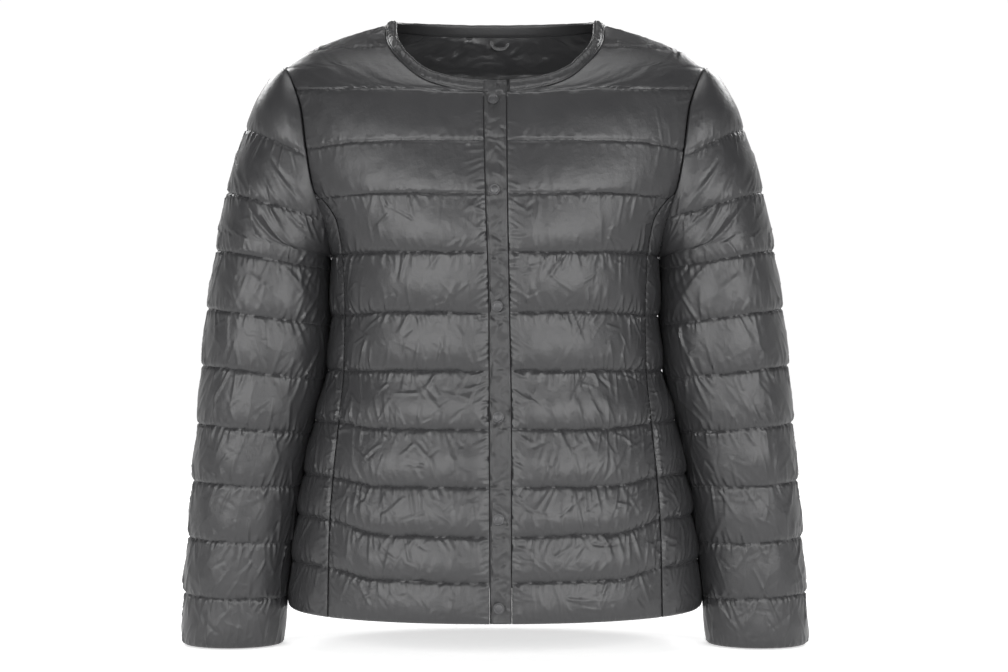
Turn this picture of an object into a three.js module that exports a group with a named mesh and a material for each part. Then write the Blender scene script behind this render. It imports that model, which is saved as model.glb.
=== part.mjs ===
// Light quilted down jacket with a round neck and no collar, filled out as it is when worn.
// Millimetres, +Z up, the front faces -Y and the wearer's right is at -X.
// The origin lies between the two points where the shoulder seams meet the neck.
// Every cloth piece is a hollow wall: plain inside, raised outside into one cushion for each quilted row.

import * as THREE from 'three';

// Seams and walls
const SEAM_GAP = 0.3;
const SEAM_WALL = 2.4;
const SEAM_RAMP = 24;
const SLEEVE_CROWN = 6;
const BODY_ROUNDNESS = 2.2;
const CENTRE_Y = 5;

// Heights
const SHOULDER_Z = -48;
const UNDERARM_Z = -235;
const NECK_FRONT_Z = -82;
const HEM_Z = -582;

// Armhole
const ARMHOLE_HALF_DEPTH = 56;
const ARMHOLE_SQUARENESS = 0.425;

// Neck binding, plackets, snaps and hanger loop
const BINDING_WIDTH = 12.5;
const BINDING_BULGE = 1.2;
const PLACKET_CROWN = 3.6;
const PLACKET_WALL = 2.6;
const SNAP_RADIUS = 5.3;
const SNAP_HEIGHT = 2.2;
const SNAP_SIDES = 14;
const SNAP_OFF_MIDDLE = -1.8;
const LOOP_STRAP = {
  width: 3.6, thickness: 1.4, halfSpan: 9, drop: 11, centreX: 5, top: -5.5, steps: 12, clearance: 1.2,
};

// Columns of one named table as a list of rows
function table(columns, rows) {
  return rows.map((row) => Object.fromEntries(columns.map((name, i) => [name, row[i]])));
}

// Body sections: virtual depth of front and back at the middle of the body
const bodyDepths = table(['z', 'front', 'back'], [
  [10, 0, 68],
  [-5, 4, 72],
  [-20, 20, 80],
  [-31, 42, 84],
  [-48, 62, 90],
  [-70, 80, 96],
  [-82, 88, 98],
  [-130, 102, 103],
  [-180, 112, 103],
  [-235, 116, 97],
  [-292, 113, 88],
  [-347, 113, 84],
  [-402, 119, 90],
  [-456, 126, 102],
  [-502, 131, 112],
  [-544, 135, 119],
  [-582, 137, 123],
]);

// Body half width below the underarm
const bodyWidths = table(['z', 'x'], [
  [-235, 160],
  [-292, 160],
  [-347, 164],
  [-402, 178],
  [-456, 189],
  [-502, 196],
  [-544, 200.5],
  [-582, 202.5],
]);

// Armhole seam seen from the front
const armholeSeam = table(['z', 'x'], [
  [-48, 208],
  [-60, 201],
  [-75, 194],
  [-92, 188.5],
  [-129, 183],
  [-164, 177],
  [-194, 168],
  [-212, 163],
  [-235, 160],
]);

// Shoulder seam, from the neck binding to the armhole
const shoulderSeam = table(['z', 'x'], [
  [10, 90],
  [-5, 111],
  [-14, 140],
  [-26, 172],
  [-37, 194],
  [-48, 208],
]);

// Neck edge of the front panels
const neckEdge = table(['z', 'x'], [
  [-82, 14],
  [-79.5, 36],
  [-69, 68],
  [-53, 88],
  [-36, 102],
  [-20, 108.5],
  [-5, 110],
]);

// Princess seam of the fronts, with the pocket openings in it
const princessSeam = table(['z', 'x'], [
  [-174, 174.6],
  [-180, 167.5],
  [-188, 160.5],
  [-203, 152],
  [-235, 147],
  [-292, 144.5],
  [-347, 145.5],
  [-402, 150],
  [-456, 155],
  [-502, 157.5],
  [-582, 158.5],
]);

// Placket edges: the stitched seam on the wearer's right and the free edge on the left
const placketEdges = table(['z', 'seamX', 'freeX'], [
  [-60, -11.4, 10.8],
  [-82, -11.2, 11],
  [-176, -9.2, 11.8],
  [-292, -5.8, 13.8],
  [-402, -5.5, 15.6],
  [-582, -4.6, 15.3],
]);

// Quilt lines of the fronts and sides: height at the inner edge, across the panel and at the side
const frontQuilting = table(['inner', 'middle', 'side', 'crown'], [
  [-6, -5.8, -5.6, 3],
  [-31, -31, -31, 5],
  [-82, -76, -73, 5.6],
  [-129, -128, -132, 6.4],
  [-180, -178, -180, 8],
  [-235, -234, -235, 8.2],
  [-292, -291, -294, 8.2],
  [-347, -347, -348, 8.2],
  [-402, -402, -398, 8.2],
  [-456, -456, -450, 8],
  [-502, -501, -490, 7.6],
  [-544, -543, -535, 7],
  [-582, -582, -582, 0],
]);

// Quilt lines of the back, which meet those of the sides at the side seams
const backQuilting = table(['middle', 'side', 'crown'], [
  [-5, -5, 3.5],
  [-40, -38, 5.6],
  [-88, -84, 6.6],
  [-137, -132, 7.4],
  [-186, -183, 8],
  [-235, -235, 8.2],
  [-292, -294, 8.2],
  [-347, -348, 8.2],
  [-402, -398, 8.2],
  [-456, -450, 8],
  [-502, -490, 7.6],
  [-544, -535, 7],
  [-582, -582, 0],
]);

// Sleeve sections: outer and inner side seen from the front, half depth and middle seen from the side
const sleeveSections = table(['line', 'outerX', 'outerZ', 'innerX', 'innerZ', 'halfDepth', 'middleY'], [
  [0, 209, -47.8, 208, -48, 0, 5],
  [0.06, 209.6, -48.2, 204.5, -54, 22, 5],
  [0.2, 219, -55, 198, -67, 36, 5],
  [0.5, 231, -74, 188, -94, 49, 5],
  [0.8, 240.5, -94, 184, -121, 55, 5],
  [1, 246, -108, 181, -138, 56, 5],
  [1.5, 256, -140, 175, -171, 57.5, 5],
  [2, 264.5, -171, 165, -203, 58, 5],
  [3, 276.5, -229, 171, -248, 58, 3],
  [4, 285.5, -287, 173, -303, 57, 0],
  [5, 290.5, -343, 177, -356, 53, -4],
  [6, 294, -400, 191, -409, 49, -9],
  [7, 298.5, -457, 202, -462, 45, -13],
  [8, 302, -512, 208.5, -517, 42, -16],
  [9, 305.5, -567, 212.5, -571, 40, -18],
  [10, 306, -617, 213.5, -617, 38, -20],
]);
const SLEEVE_LINES = 10;
const UNDERARM_LINE = 2.71;

// Snap heights
const snapHeights = [-88.6, -176, -286, -390, -485, -567];

// Rows of points in one quilted baffle, as shares of its height
const OUTER_ROWS = [0, 0.2, 0.5, 0.8];
const PLAIN_ROWS = [0];
const NECK_ROWS = [0, 0.12, 0.26, 0.405, 0.5, 0.62, 0.76, 0.88, 0.95];
const PRINCESS_TOP_ROWS = [0, 0.2, 0.5, 0.8, 0.875, 0.94];
const BACK_SHOULDER_ROWS = [0, 0.1, 0.217, 0.304, 0.42, 0.6, 0.8];
const UNDERARM_ROWS = [0, 0.2, 0.45, 0.71, 0.85];

// Columns of points across one panel, closer together at the seams
const FRONT_COLUMNS = [0, 0.07, 0.22, 0.42, 0.62, 0.82, 0.94, 1];
const SIDE_COLUMNS = [0, 0.2, 0.5, 0.8, 1];
const BACK_COLUMNS = [0, 0.03, 0.09, 0.18, 0.29, 0.4, 0.5, 0.6, 0.71, 0.82, 0.91, 0.97, 1];
const SLEEVE_COLUMNS = 20;

// Smooth curve through one column of a table, read at a value of its key
function read(rows, key, column, at) {
  const sign = Math.sign(rows[rows.length - 1][key] - rows[0][key]);
  const along = (row) => row[key] * sign;
  const target = at * sign;
  if (target <= along(rows[0])) return rows[0][column];
  if (target >= along(rows[rows.length - 1])) return rows[rows.length - 1][column];
  const i = rows.findIndex((row) => along(row) > target) - 1;
  const slope = (j) => (rows[j + 1][column] - rows[j][column]) / (along(rows[j + 1]) - along(rows[j]));
  const tangent = (j) => {
    if (j === 0) return slope(0);
    if (j === rows.length - 1) return slope(j - 1);
    const before = slope(j - 1);
    const after = slope(j);
    return before * after > 0 ? (2 * before * after) / (before + after) : 0;
  };
  const span = along(rows[i + 1]) - along(rows[i]);
  const t = (target - along(rows[i])) / span;
  const h01 = t * t * (3 - 2 * t);
  const h10 = t * (1 - t) * (1 - t);
  const h11 = t * t * (t - 1);
  return rows[i][column] * (1 - h01) + rows[i + 1][column] * h01
    + span * (h10 * tangent(i) + h11 * tangent(i + 1));
}

// Value of a column at a quilt line number, with shares of a baffle between two lines
function readLine(rows, column, line) {
  const i = Math.min(Math.max(Math.floor(line), 0), rows.length - 2);
  const share = line - i;
  return rows[i][column] * (1 - share) + rows[i + 1][column] * share;
}

// Half width of the armhole from front to back at one height
function armholeDepth(z) {
  const middle = (SHOULDER_Z + UNDERARM_Z) / 2;
  const half = (SHOULDER_Z - UNDERARM_Z) / 2;
  const c = THREE.MathUtils.clamp((z - middle) / half, -1, 1);
  return ARMHOLE_HALF_DEPTH * Math.pow(1 - c * c, ARMHOLE_SQUARENESS);
}

// Outer end of a body section: side seam, armhole seam or shoulder seam
function bodyEnd(z) {
  if (z >= SHOULDER_Z) return { x: read(shoulderSeam, 'z', 'x', z), depth: 0 };
  if (z > UNDERARM_Z) return { x: read(armholeSeam, 'z', 'x', z), depth: armholeDepth(z) };
  return { x: read(bodyWidths, 'z', 'x', z), depth: 0 };
}

// Oval body section through its outer end: half width, depth and the angle of the outer end
function bodyOval(z, face) {
  const end = bodyEnd(z);
  const depth = read(bodyDepths, 'z', face, z) + (face === 'front' ? CENTRE_Y : -CENTRE_Y);
  const cut = Math.pow(Math.min(end.depth / depth, 0.999), BODY_ROUNDNESS);
  const halfWidth = end.x / Math.pow(1 - cut, 1 / BODY_ROUNDNESS);
  return { halfWidth, depth, endAngle: angleAt(end.x, halfWidth) };
}

function angleAt(x, halfWidth) {
  return Math.asin(Math.min(Math.pow(x / halfWidth, BODY_ROUNDNESS / 2), 1));
}

// Point of the body's inner face at an angle from the middle of the front or back
function bodyPoint(z, face, angle) {
  const oval = bodyOval(z, face);
  const power = 2 / BODY_ROUNDNESS;
  const across = oval.halfWidth * Math.pow(Math.abs(Math.sin(angle)), power) * Math.sign(angle);
  const away = oval.depth * Math.pow(Math.max(Math.cos(angle), 0), power);
  const side = face === 'front' ? -1 : 1;
  return new THREE.Vector3(across, CENTRE_Y + side * (away + SEAM_GAP / 2), z);
}

// Blend of a quilt line's inner, middle and side heights across a panel
function lineHeight(inner, middle, side, share) {
  const toMiddle = 1 - THREE.MathUtils.smoothstep(share, 0, 0.45);
  const toSide = THREE.MathUtils.smoothstep(share, 0.6, 1);
  return middle + (inner - middle) * toMiddle + (side - middle) * toSide;
}

// How far a quilted baffle rises from its stitched lines, from 0 to 1
function baffleRise(line) {
  const share = line - Math.floor(line);
  return Math.pow(Math.max(Math.sin(Math.PI * share), 0), 0.7);
}

function seamRise(distance) {
  const share = Math.min(distance / SEAM_RAMP, 1);
  return 1 - (1 - share) * (1 - share);
}

function bodyWall(rows, line, distance) {
  const crown = rows[Math.min(Math.floor(line), rows.length - 1)].crown;
  return SEAM_WALL + Math.max(crown - SEAM_WALL, 0) * baffleRise(line) * seamRise(distance);
}

// Outward normal of a surface of two parameters
function surfaceNormal(surface, u, v, uRange, vRange, outward) {
  const step = 1e-3;
  const pick = (value, range, delta) => THREE.MathUtils.clamp(value + delta, range[0], range[1]);
  const du = surface(pick(u, uRange, step), v).sub(surface(pick(u, uRange, -step), v));
  const dv = surface(u, pick(v, vRange, step)).sub(surface(u, pick(v, vRange, -step)));
  const normal = new THREE.Vector3().crossVectors(du, dv).normalize();
  return normal.dot(outward) < 0 ? normal.negate() : normal;
}

// Front panel surface: u from the placket to the princess seam, armhole or shoulder seam
function frontSurface(side) {
  return (u, line) => {
    const inner = readLine(frontQuilting, 'inner', line);
    const middle = readLine(frontQuilting, 'middle', line);
    const outer = readLine(frontQuilting, 'side', line);
    const z = lineHeight(inner, middle, outer, u);
    const placket = Math.abs(read(placketEdges, 'z', side < 0 ? 'seamX' : 'freeX', inner));
    const startX = inner > NECK_FRONT_Z ? read(neckEdge, 'z', 'x', inner) : placket + 1.5 * SEAM_GAP;
    const princess = outer < princessSeam[0].z;
    const endX = princess ? read(princessSeam, 'z', 'x', outer) - SEAM_GAP / 2 : bodyEnd(outer).x;
    const startAngle = angleAt(startX, bodyOval(inner, 'front').halfWidth);
    const endAngle = angleAt(endX, bodyOval(outer, 'front').halfWidth);
    const angle = startAngle + (endAngle - startAngle) * u;
    return bodyPoint(z, 'front', angle * side);
  };
}

// Side panel surface: u from the princess seam to the side seam or armhole
const SIDE_TOP_LINE = 3.9;
function sideSurface(side) {
  return (u, line) => {
    const z = readLine(frontQuilting, 'side', line);
    const oval = bodyOval(z, 'front');
    const startAngle = angleAt(read(princessSeam, 'z', 'x', z) + SEAM_GAP / 2, oval.halfWidth);
    const angle = startAngle + (oval.endAngle - startAngle) * u;
    return bodyPoint(z, 'front', angle * side);
  };
}

// Back panel surface: u from the wearer's right to the left
function backSurface(u, line) {
  const off = Math.abs(2 * u - 1);
  const middle = readLine(backQuilting, 'middle', line);
  const outer = readLine(backQuilting, 'side', line);
  const z = middle + (outer - middle) * THREE.MathUtils.smoothstep(off, 0.5, 1);
  const endAngle = bodyOval(z, 'back').endAngle;
  return bodyPoint(z, 'back', (2 * u - 1) * endAngle);
}

// Sleeve section at a line: outer and inner end, half depth and the angle where it is cut by the armhole
function sleeveSection(line) {
  const value = (column) => read(sleeveSections, 'line', column, line);
  const open = line < UNDERARM_LINE;
  const innerZ = value('innerZ');
  const innerX = open ? read(armholeSeam, 'z', 'x', innerZ) : value('innerX');
  const gap = open ? armholeDepth(innerZ) : 0;
  const halfDepth = line < 1 ? gap : Math.max(value('halfDepth'), gap);
  const endAngle = line < 1 ? Math.PI / 2 : Math.PI - Math.asin(Math.min(gap / halfDepth, 1));
  return {
    outerX: value('outerX'), outerZ: value('outerZ'), innerX, innerZ, halfDepth, endAngle, open,
    middleY: value('middleY'),
  };
}

// Sleeve surface on the wearer's left: u runs from the front end of the armhole round to the back end
function sleeveSurface(u, line) {
  const section = sleeveSection(line);
  const angle = (2 * u - 1) * section.endAngle;
  const radius = (section.outerX - section.innerX) / (1 - Math.cos(section.endAngle));
  const centreX = section.outerX - radius;
  const x = centreX + radius * Math.cos(angle);
  const share = (x - section.innerX) / (section.outerX - section.innerX);
  const z = section.innerZ + (section.outerZ - section.innerZ) * share;
  return new THREE.Vector3(x, section.middleY + section.halfDepth * Math.sin(angle), z);
}

// Closed solids from grids of points
class Solid {
  constructor() {
    this.points = [];
    this.faces = [];
  }

  add(point) {
    this.points.push(point);
    return this.points.length - 1;
  }

  addGrid(grid) {
    return grid.map((row) => row.map((point) => this.add(point)));
  }

  quad(a, b, c, d) {
    if (this.points[a].distanceToSquared(this.points[c]) < this.points[b].distanceToSquared(this.points[d])) {
      this.faces.push([a, b, c], [a, c, d]);
    } else {
      this.faces.push([a, b, d], [b, c, d]);
    }
  }

  // Faces of a grid of point numbers, rows downwards and columns to the right of who looks at them
  skin(rows, flip) {
    for (let i = 0; i + 1 < rows.length; i += 1) {
      for (let j = 0; j + 1 < rows[i].length; j += 1) {
        const corners = [rows[i][j], rows[i + 1][j], rows[i + 1][j + 1], rows[i][j + 1]];
        if (flip) corners.reverse();
        this.quad(...corners);
      }
    }
  }

  // Strip between two lines of point numbers that start and end together
  strip(first, second, flip) {
    const distance = (p, q) => this.points[p].distanceToSquared(this.points[q]);
    let i = 0;
    let j = 0;
    while (i + 1 < first.length || j + 1 < second.length) {
      const canFirst = i + 1 < first.length;
      const canSecond = j + 1 < second.length;
      const stepFirst = canFirst
        && (!canSecond || distance(first[i + 1], second[j]) <= distance(first[i], second[j + 1]));
      const face = stepFirst ? [first[i], first[i + 1], second[j]] : [first[i], second[j + 1], second[j]];
      this.faces.push(flip ? face.reverse() : face);
      if (stepFirst) i += 1;
      else j += 1;
    }
  }

  volume() {
    return this.faces.reduce((sum, [a, b, c]) => {
      const cross = new THREE.Vector3().crossVectors(this.points[b], this.points[c]);
      return sum + this.points[a].dot(cross) / 6;
    }, 0);
  }

  geometry() {
    if (this.volume() < 0) this.faces.forEach((face) => face.reverse());
    const geometry = new THREE.BufferGeometry();
    const positions = this.points.flatMap((point) => [point.x, point.y, point.z]);
    geometry.setAttribute('position', new THREE.Float32BufferAttribute(positions, 3));
    geometry.setIndex(this.faces.flat());
    geometry.computeVertexNormals();
    return geometry;
  }
}

const firstOf = (rows) => rows.map((row) => row[0]);
const lastOf = (rows) => rows.map((row) => row[row.length - 1]);

// Wall between an outer and an inner grid that share their columns and their first and last row
function wallSolid(outerGrid, innerGrid) {
  const solid = new Solid();
  const outer = solid.addGrid(outerGrid);
  const inner = solid.addGrid(innerGrid);
  solid.skin(outer, false);
  solid.skin(inner, true);
  solid.strip(firstOf(outer), firstOf(inner), true);
  solid.strip(lastOf(outer), lastOf(inner), false);
  solid.strip(outer[0], inner[0], false);
  solid.strip(outer[outer.length - 1], inner[inner.length - 1], true);
  return solid;
}

// Tube wall with a slit: rows above slitEnd end at the armhole, those below close on themselves
function sleeveSolid(outerGrid, innerGrid, outerSlitEnd, innerSlitEnd) {
  const solid = new Solid();
  const close = (grid, slitEnd) => {
    const rows = solid.addGrid(grid);
    rows.forEach((row, i) => {
      if (i >= slitEnd) row[row.length - 1] = row[0];
    });
    return rows;
  };
  const outer = close(outerGrid, outerSlitEnd);
  const inner = close(innerGrid, innerSlitEnd);
  solid.skin(outer, false);
  solid.skin(inner, true);
  solid.strip(firstOf(outer).slice(0, outerSlitEnd + 1), firstOf(inner).slice(0, innerSlitEnd + 1), true);
  solid.strip(lastOf(outer).slice(0, outerSlitEnd + 1), lastOf(inner).slice(0, innerSlitEnd + 1), false);
  solid.strip(outer[0], inner[0], false);
  solid.strip(outer[outer.length - 1], inner[inner.length - 1], true);
  return solid;
}

// Bar through a list of sections, each a closed ring of points
function barSolid(sections) {
  const solid = new Solid();
  const rings = solid.addGrid(sections.map((ring) => [...ring]));
  const closed = rings.map((ring) => [...ring, ring[0]]);
  solid.skin(closed, false);
  [rings[0], rings[rings.length - 1]].forEach((ring, end) => {
    for (let k = 1; k + 1 < ring.length; k += 1) {
      solid.faces.push(end === 0 ? [ring[0], ring[k], ring[k + 1]] : [ring[0], ring[k + 1], ring[k]]);
    }
  });
  return solid;
}

// Quilt line numbers of the rows of a piece
function rowLines(first, last, sharesOf) {
  const lines = [];
  for (let base = Math.floor(first); base < last; base += 1) {
    sharesOf(base).forEach((share) => lines.push(base + share));
  }
  const inside = lines.filter((line) => line > first + 0.04 && line < last - 1e-6);
  return [first, ...inside, last];
}

// Grids of the inner and outer face of a quilted panel
function panelGrids(surface, rows, columns, outward, quilting, vRange) {
  const grid = (lines, thick) => lines.map((line) => columns.map((u) => {
    const point = surface(u, line);
    const start = surface(0, line);
    const end = surface(1, line);
    const distance = Math.min(point.distanceTo(start), point.distanceTo(end));
    const wall = bodyWall(quilting, line, distance);
    const normal = surfaceNormal(surface, u, line, [0, 1], vRange, outward(point));
    return thick ? point.addScaledVector(normal, wall) : point;
  }));
  return { outer: grid(rows.outer, true), inner: grid(rows.inner, false) };
}

const awayFromAxis = (point) => new THREE.Vector3(point.x, point.y, 30);

const LAST_FRONT_LINE = frontQuilting.length - 1;
const LAST_BACK_LINE = backQuilting.length - 1;
const FRONT_TOP_LINE = 0;

function frontGrids(side) {
  const fine = (base) => ({ 1: NECK_ROWS, 3: PRINCESS_TOP_ROWS }[base] ?? OUTER_ROWS);
  const inside = (base) => (base < 5 ? fine(base) : PLAIN_ROWS);
  const rows = {
    outer: rowLines(FRONT_TOP_LINE, LAST_FRONT_LINE, fine),
    inner: rowLines(FRONT_TOP_LINE, LAST_FRONT_LINE, inside),
  };
  const range = [FRONT_TOP_LINE, LAST_FRONT_LINE];
  return panelGrids(frontSurface(side), rows, FRONT_COLUMNS, awayFromAxis, frontQuilting, range);
}

function sideGrids(side) {
  const inside = (base) => (base < 5 ? OUTER_ROWS : PLAIN_ROWS);
  const rows = {
    outer: rowLines(SIDE_TOP_LINE, LAST_FRONT_LINE, () => OUTER_ROWS),
    inner: rowLines(SIDE_TOP_LINE, LAST_FRONT_LINE, inside),
  };
  const range = [SIDE_TOP_LINE, LAST_FRONT_LINE];
  return panelGrids(sideSurface(side), rows, SIDE_COLUMNS, awayFromAxis, frontQuilting, range);
}

function backGrids() {
  const fine = (base) => (base === 1 ? BACK_SHOULDER_ROWS : OUTER_ROWS);
  const inside = (base) => (base < 5 ? fine(base) : PLAIN_ROWS);
  const rows = {
    outer: rowLines(0, LAST_BACK_LINE, fine),
    inner: rowLines(0, LAST_BACK_LINE, inside),
  };
  return panelGrids(backSurface, rows, BACK_COLUMNS, awayFromAxis, backQuilting, [0, LAST_BACK_LINE]);
}

// Outward normal of the sleeve's inner face
function sleeveNormal(u, line) {
  const point = sleeveSurface(u, line);
  const section = sleeveSection(line);
  const middle = new THREE.Vector3(
    section.innerX + (section.outerX - section.innerX) * (section.open ? 0.2 : 0.5),
    section.middleY,
    section.innerZ - (line < 1 ? 20 : 0),
  );
  const lines = [FIRST_SLEEVE_LINE, SLEEVE_LINES];
  return surfaceNormal(sleeveSurface, u, line, [0, 1], lines, point.sub(middle));
}

const FIRST_SLEEVE_LINE = 0.06;
const SLEEVE_INNER_SIDE_SHARE = 0.45;
const UNDERARM_SHIFT = 5;

// Points of a sleeve wall on the wearer's left, moved off the body at the armhole seam
function sleeveGrids() {
  const fine = (base) => (base === 2 ? UNDERARM_ROWS : OUTER_ROWS);
  const inside = (base) => (base < 3 ? fine(base) : PLAIN_ROWS);
  const lines = {
    outer: rowLines(FIRST_SLEEVE_LINE, SLEEVE_LINES, fine),
    inner: rowLines(FIRST_SLEEVE_LINE, SLEEVE_LINES, inside),
  };
  const columns = Array.from({ length: SLEEVE_COLUMNS + 1 }, (_, i) => i / SLEEVE_COLUMNS);
  const clearance = (line, face) => {
    const section = sleeveSection(line);
    const sleeveOut = sleeveNormal(face === 'front' ? 0 : 1, line).x;
    const seamPoint = bodyPoint(section.innerZ, face, bodyOval(section.innerZ, face).endAngle);
    const inward = bodyPoint(section.innerZ, face, bodyOval(section.innerZ, face).endAngle - 0.02);
    const lower = section.innerZ - 0.5;
    const below = bodyPoint(lower, face, bodyOval(lower, face).endAngle);
    const normal = new THREE.Vector3().crossVectors(inward.sub(seamPoint), below.sub(seamPoint)).normalize();
    const bodyOut = Math.abs(normal.x);
    return 2 * SEAM_GAP + SEAM_WALL * Math.max(bodyOut - sleeveOut, 0);
  };
  const shifts = (line) => {
    if (line > 3) return [0, 0];
    if (line >= UNDERARM_LINE) {
      const fade = (3 - line) / (3 - UNDERARM_LINE);
      return [UNDERARM_SHIFT * fade, UNDERARM_SHIFT * fade];
    }
    return [clearance(line, 'front'), clearance(line, 'back')];
  };
  const grid = (rows, thick) => rows.map((line) => columns.map((u) => {
    const [frontShift, backShift] = shifts(line);
    const point = sleeveSurface(u, line);
    const end = sleeveSection(line);
    const toEnds = end.open
      ? Math.min(point.distanceTo(sleeveSurface(0, line)), point.distanceTo(sleeveSurface(1, line)))
      : SEAM_RAMP;
    const facing = Math.abs(2 * u - 1) * end.endAngle;
    const innerSide = THREE.MathUtils.smoothstep(facing, 1.7, 2.6);
    const share = 1 - innerSide * (1 - SLEEVE_INNER_SIDE_SHARE);
    const rise = (SLEEVE_CROWN - SEAM_WALL) * baffleRise(line) * seamRise(toEnds) * share;
    const normal = sleeveNormal(u, line);
    point.x += frontShift * Math.pow(1 - u, 3) + backShift * Math.pow(u, 3);
    return thick ? point.addScaledVector(normal, SEAM_WALL + rise) : point;
  }));
  const slitEnd = (rows) => rows.findIndex((line) => line >= UNDERARM_LINE - 1e-6);
  return {
    outer: grid(lines.outer, true), inner: grid(lines.inner, false),
    outerSlitEnd: slitEnd(lines.outer), innerSlitEnd: slitEnd(lines.inner),
  };
}

const mirroredPoint = ({ x, y, z }) => new THREE.Vector3(-x, y, z);
const mirrored = (grid) => grid.map((row) => row.map(mirroredPoint));

// Grid of a placket strip between two edges, set back by a distance from the front surface
function placketGrids(topZ, startX, endX, setBack, crown) {
  const columns = [0, 0.12, 0.5, 0.88, 1];
  const heights = [topZ];
  frontQuilting.forEach((row, i) => {
    const below = frontQuilting[i + 1] ? frontQuilting[i + 1].inner : row.inner;
    [row.inner, (row.inner + below) / 2].forEach((z) => {
      if (z < topZ - 4 && z > HEM_Z + 1) heights.push(z);
    });
  });
  heights.push(HEM_Z);
  const grid = (thick) => heights.map((z) => columns.map((u) => {
    const x = startX(z) + (endX(z) - startX(z)) * u;
    const angle = angleAt(Math.abs(x), bodyOval(z, 'front').halfWidth) * Math.sign(x);
    const point = bodyPoint(z, 'front', angle);
    point.y += setBack;
    const wall = thick ? SEAM_WALL + (crown - SEAM_WALL) * Math.pow(Math.sin(Math.PI * u), 0.5) : 0;
    point.y -= wall;
    return point;
  }));
  return { outer: grid(true), inner: grid(false) };
}

// Sections of the neck binding, one at each point of the panels' neck edges
function bindingSections(right, back, left) {
  const neckRows = (grids) => {
    const count = grids.inner.findIndex((row) => row[0].z < NECK_FRONT_Z + SEAM_GAP) + 1;
    return grids.outer.slice(0, count).map((row, i) => ({ outer: row[0], inner: grids.inner[i][0] }));
  };
  const backEdge = back.outer[0].map((point, j) => ({ outer: point, inner: back.inner[0][j] }));
  const rightEdge = neckRows(right).reverse();
  const leftEdge = neckRows(left);
  const lap = (x) => {
    const angle = angleAt(Math.abs(x), bodyOval(NECK_FRONT_Z, 'front').halfWidth) * Math.sign(x);
    const inner = bodyPoint(NECK_FRONT_Z, 'front', angle);
    return { inner, outer: inner.clone().add(new THREE.Vector3(0, -SEAM_WALL, 0)) };
  };
  const freeX = read(placketEdges, 'z', 'freeX', NECK_FRONT_Z);
  const trimmed = backEdge.slice(1, -1);
  const path = [lap(freeX), lap(freeX / 2), lap(-freeX / 3), ...rightEdge, ...trimmed, ...leftEdge];
  return path.map(({ outer, inner }) => {
    const inwards = new THREE.Vector3(-inner.x, -inner.y, 0).normalize();
    const lean = 0.3 + 0.6 * Math.pow(Math.min(Math.abs(inner.x) / 110, 1), 2);
    const across = inwards.multiplyScalar(lean).add(new THREE.Vector3(0, 0, Math.sqrt(1 - lean * lean)));
    const out = outer.clone().sub(inner).normalize();
    const at = (along, away) => inner.clone().addScaledVector(across, along).addScaledVector(out, away);
    const start = 1.4 * SEAM_GAP;
    return [
      at(start, 0),
      at(start, SEAM_WALL),
      at(start + 0.35 * BINDING_WIDTH, SEAM_WALL + BINDING_BULGE),
      at(start + 0.8 * BINDING_WIDTH, SEAM_WALL + BINDING_BULGE),
      at(start + BINDING_WIDTH, SEAM_WALL / 2),
      at(start + 0.8 * BINDING_WIDTH, -0.3),
    ];
  });
}

// Small strap in a U, sewn under the binding inside the back neck
function loopSections() {
  const { width, thickness, halfSpan, drop, centreX, top, steps, clearance } = LOOP_STRAP;
  return Array.from({ length: steps + 1 }, (_, i) => {
    const angle = Math.PI * (i / steps);
    const direction = new THREE.Vector3(Math.cos(angle), 0, -Math.sin(angle));
    const square = Math.pow(Math.max(Math.abs(Math.cos(angle)), Math.abs(Math.sin(angle))), -0.6);
    const centre = new THREE.Vector3(centreX, 0, top)
      .add(new THREE.Vector3(direction.x * halfSpan * square, 0, direction.z * drop * square));
    const ring = [[-1, 0], [1, 0], [1, 1], [-1, 1]];
    return ring.map(([side, layer]) => {
      const point = centre.clone().addScaledVector(direction, (side * width) / 2);
      const z = Math.max(point.z, backQuilting[1].middle);
      const onBack = bodyPoint(z, 'back', angleAt(Math.abs(point.x), bodyOval(z, 'back').halfWidth));
      point.y = onBack.y - clearance - layer * thickness;
      return point;
    });
  });
}

// Snap cap with a low rim and a domed middle
function snapGeometry() {
  const profile = [
    [0, 0], [SNAP_RADIUS, 0], [SNAP_RADIUS, 0.5 * SNAP_HEIGHT], [0.84 * SNAP_RADIUS, 0.9 * SNAP_HEIGHT],
    [0.7 * SNAP_RADIUS, 0.75 * SNAP_HEIGHT], [0, SNAP_HEIGHT],
  ];
  return new THREE.LatheGeometry(profile.map(([x, y]) => new THREE.Vector2(x, y)), SNAP_SIDES);
}

// Materials
const shellCloth = new THREE.MeshStandardMaterial({ color: 0x4a4a4c, roughness: 0.42, metalness: 0 });
const trimCloth = new THREE.MeshStandardMaterial({ color: 0x434345, roughness: 0.5, metalness: 0 });
const snapMetal = new THREE.MeshStandardMaterial({ color: 0x3d3d3f, roughness: 0.35, metalness: 0.6 });

const jacket = new THREE.Group();

function addPiece(name, geometry, material) {
  const mesh = new THREE.Mesh(geometry, material);
  mesh.name = name;
  jacket.add(mesh);
  return mesh;
}

function addWall(name, grids) {
  return addPiece(name, wallSolid(grids.outer, grids.inner).geometry(), shellCloth);
}

// Body panels
const rightFront = frontGrids(-1);
const leftFront = frontGrids(1);
const back = backGrids();
addWall('front_right_panel', rightFront);
addWall('front_left_panel', leftFront);
addWall('side_right_panel', sideGrids(-1));
addWall('side_left_panel', sideGrids(1));
addWall('back_panel', back);

// Sleeves
const leftSleeve = sleeveGrids();
const rightSleeve = { outer: mirrored(leftSleeve.outer), inner: mirrored(leftSleeve.inner) };
[['sleeve_right', rightSleeve], ['sleeve_left', leftSleeve]].forEach(([name, grids]) => {
  const solid = sleeveSolid(grids.outer, grids.inner, leftSleeve.outerSlitEnd, leftSleeve.innerSlitEnd);
  addPiece(name, solid.geometry(), shellCloth);
});

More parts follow.
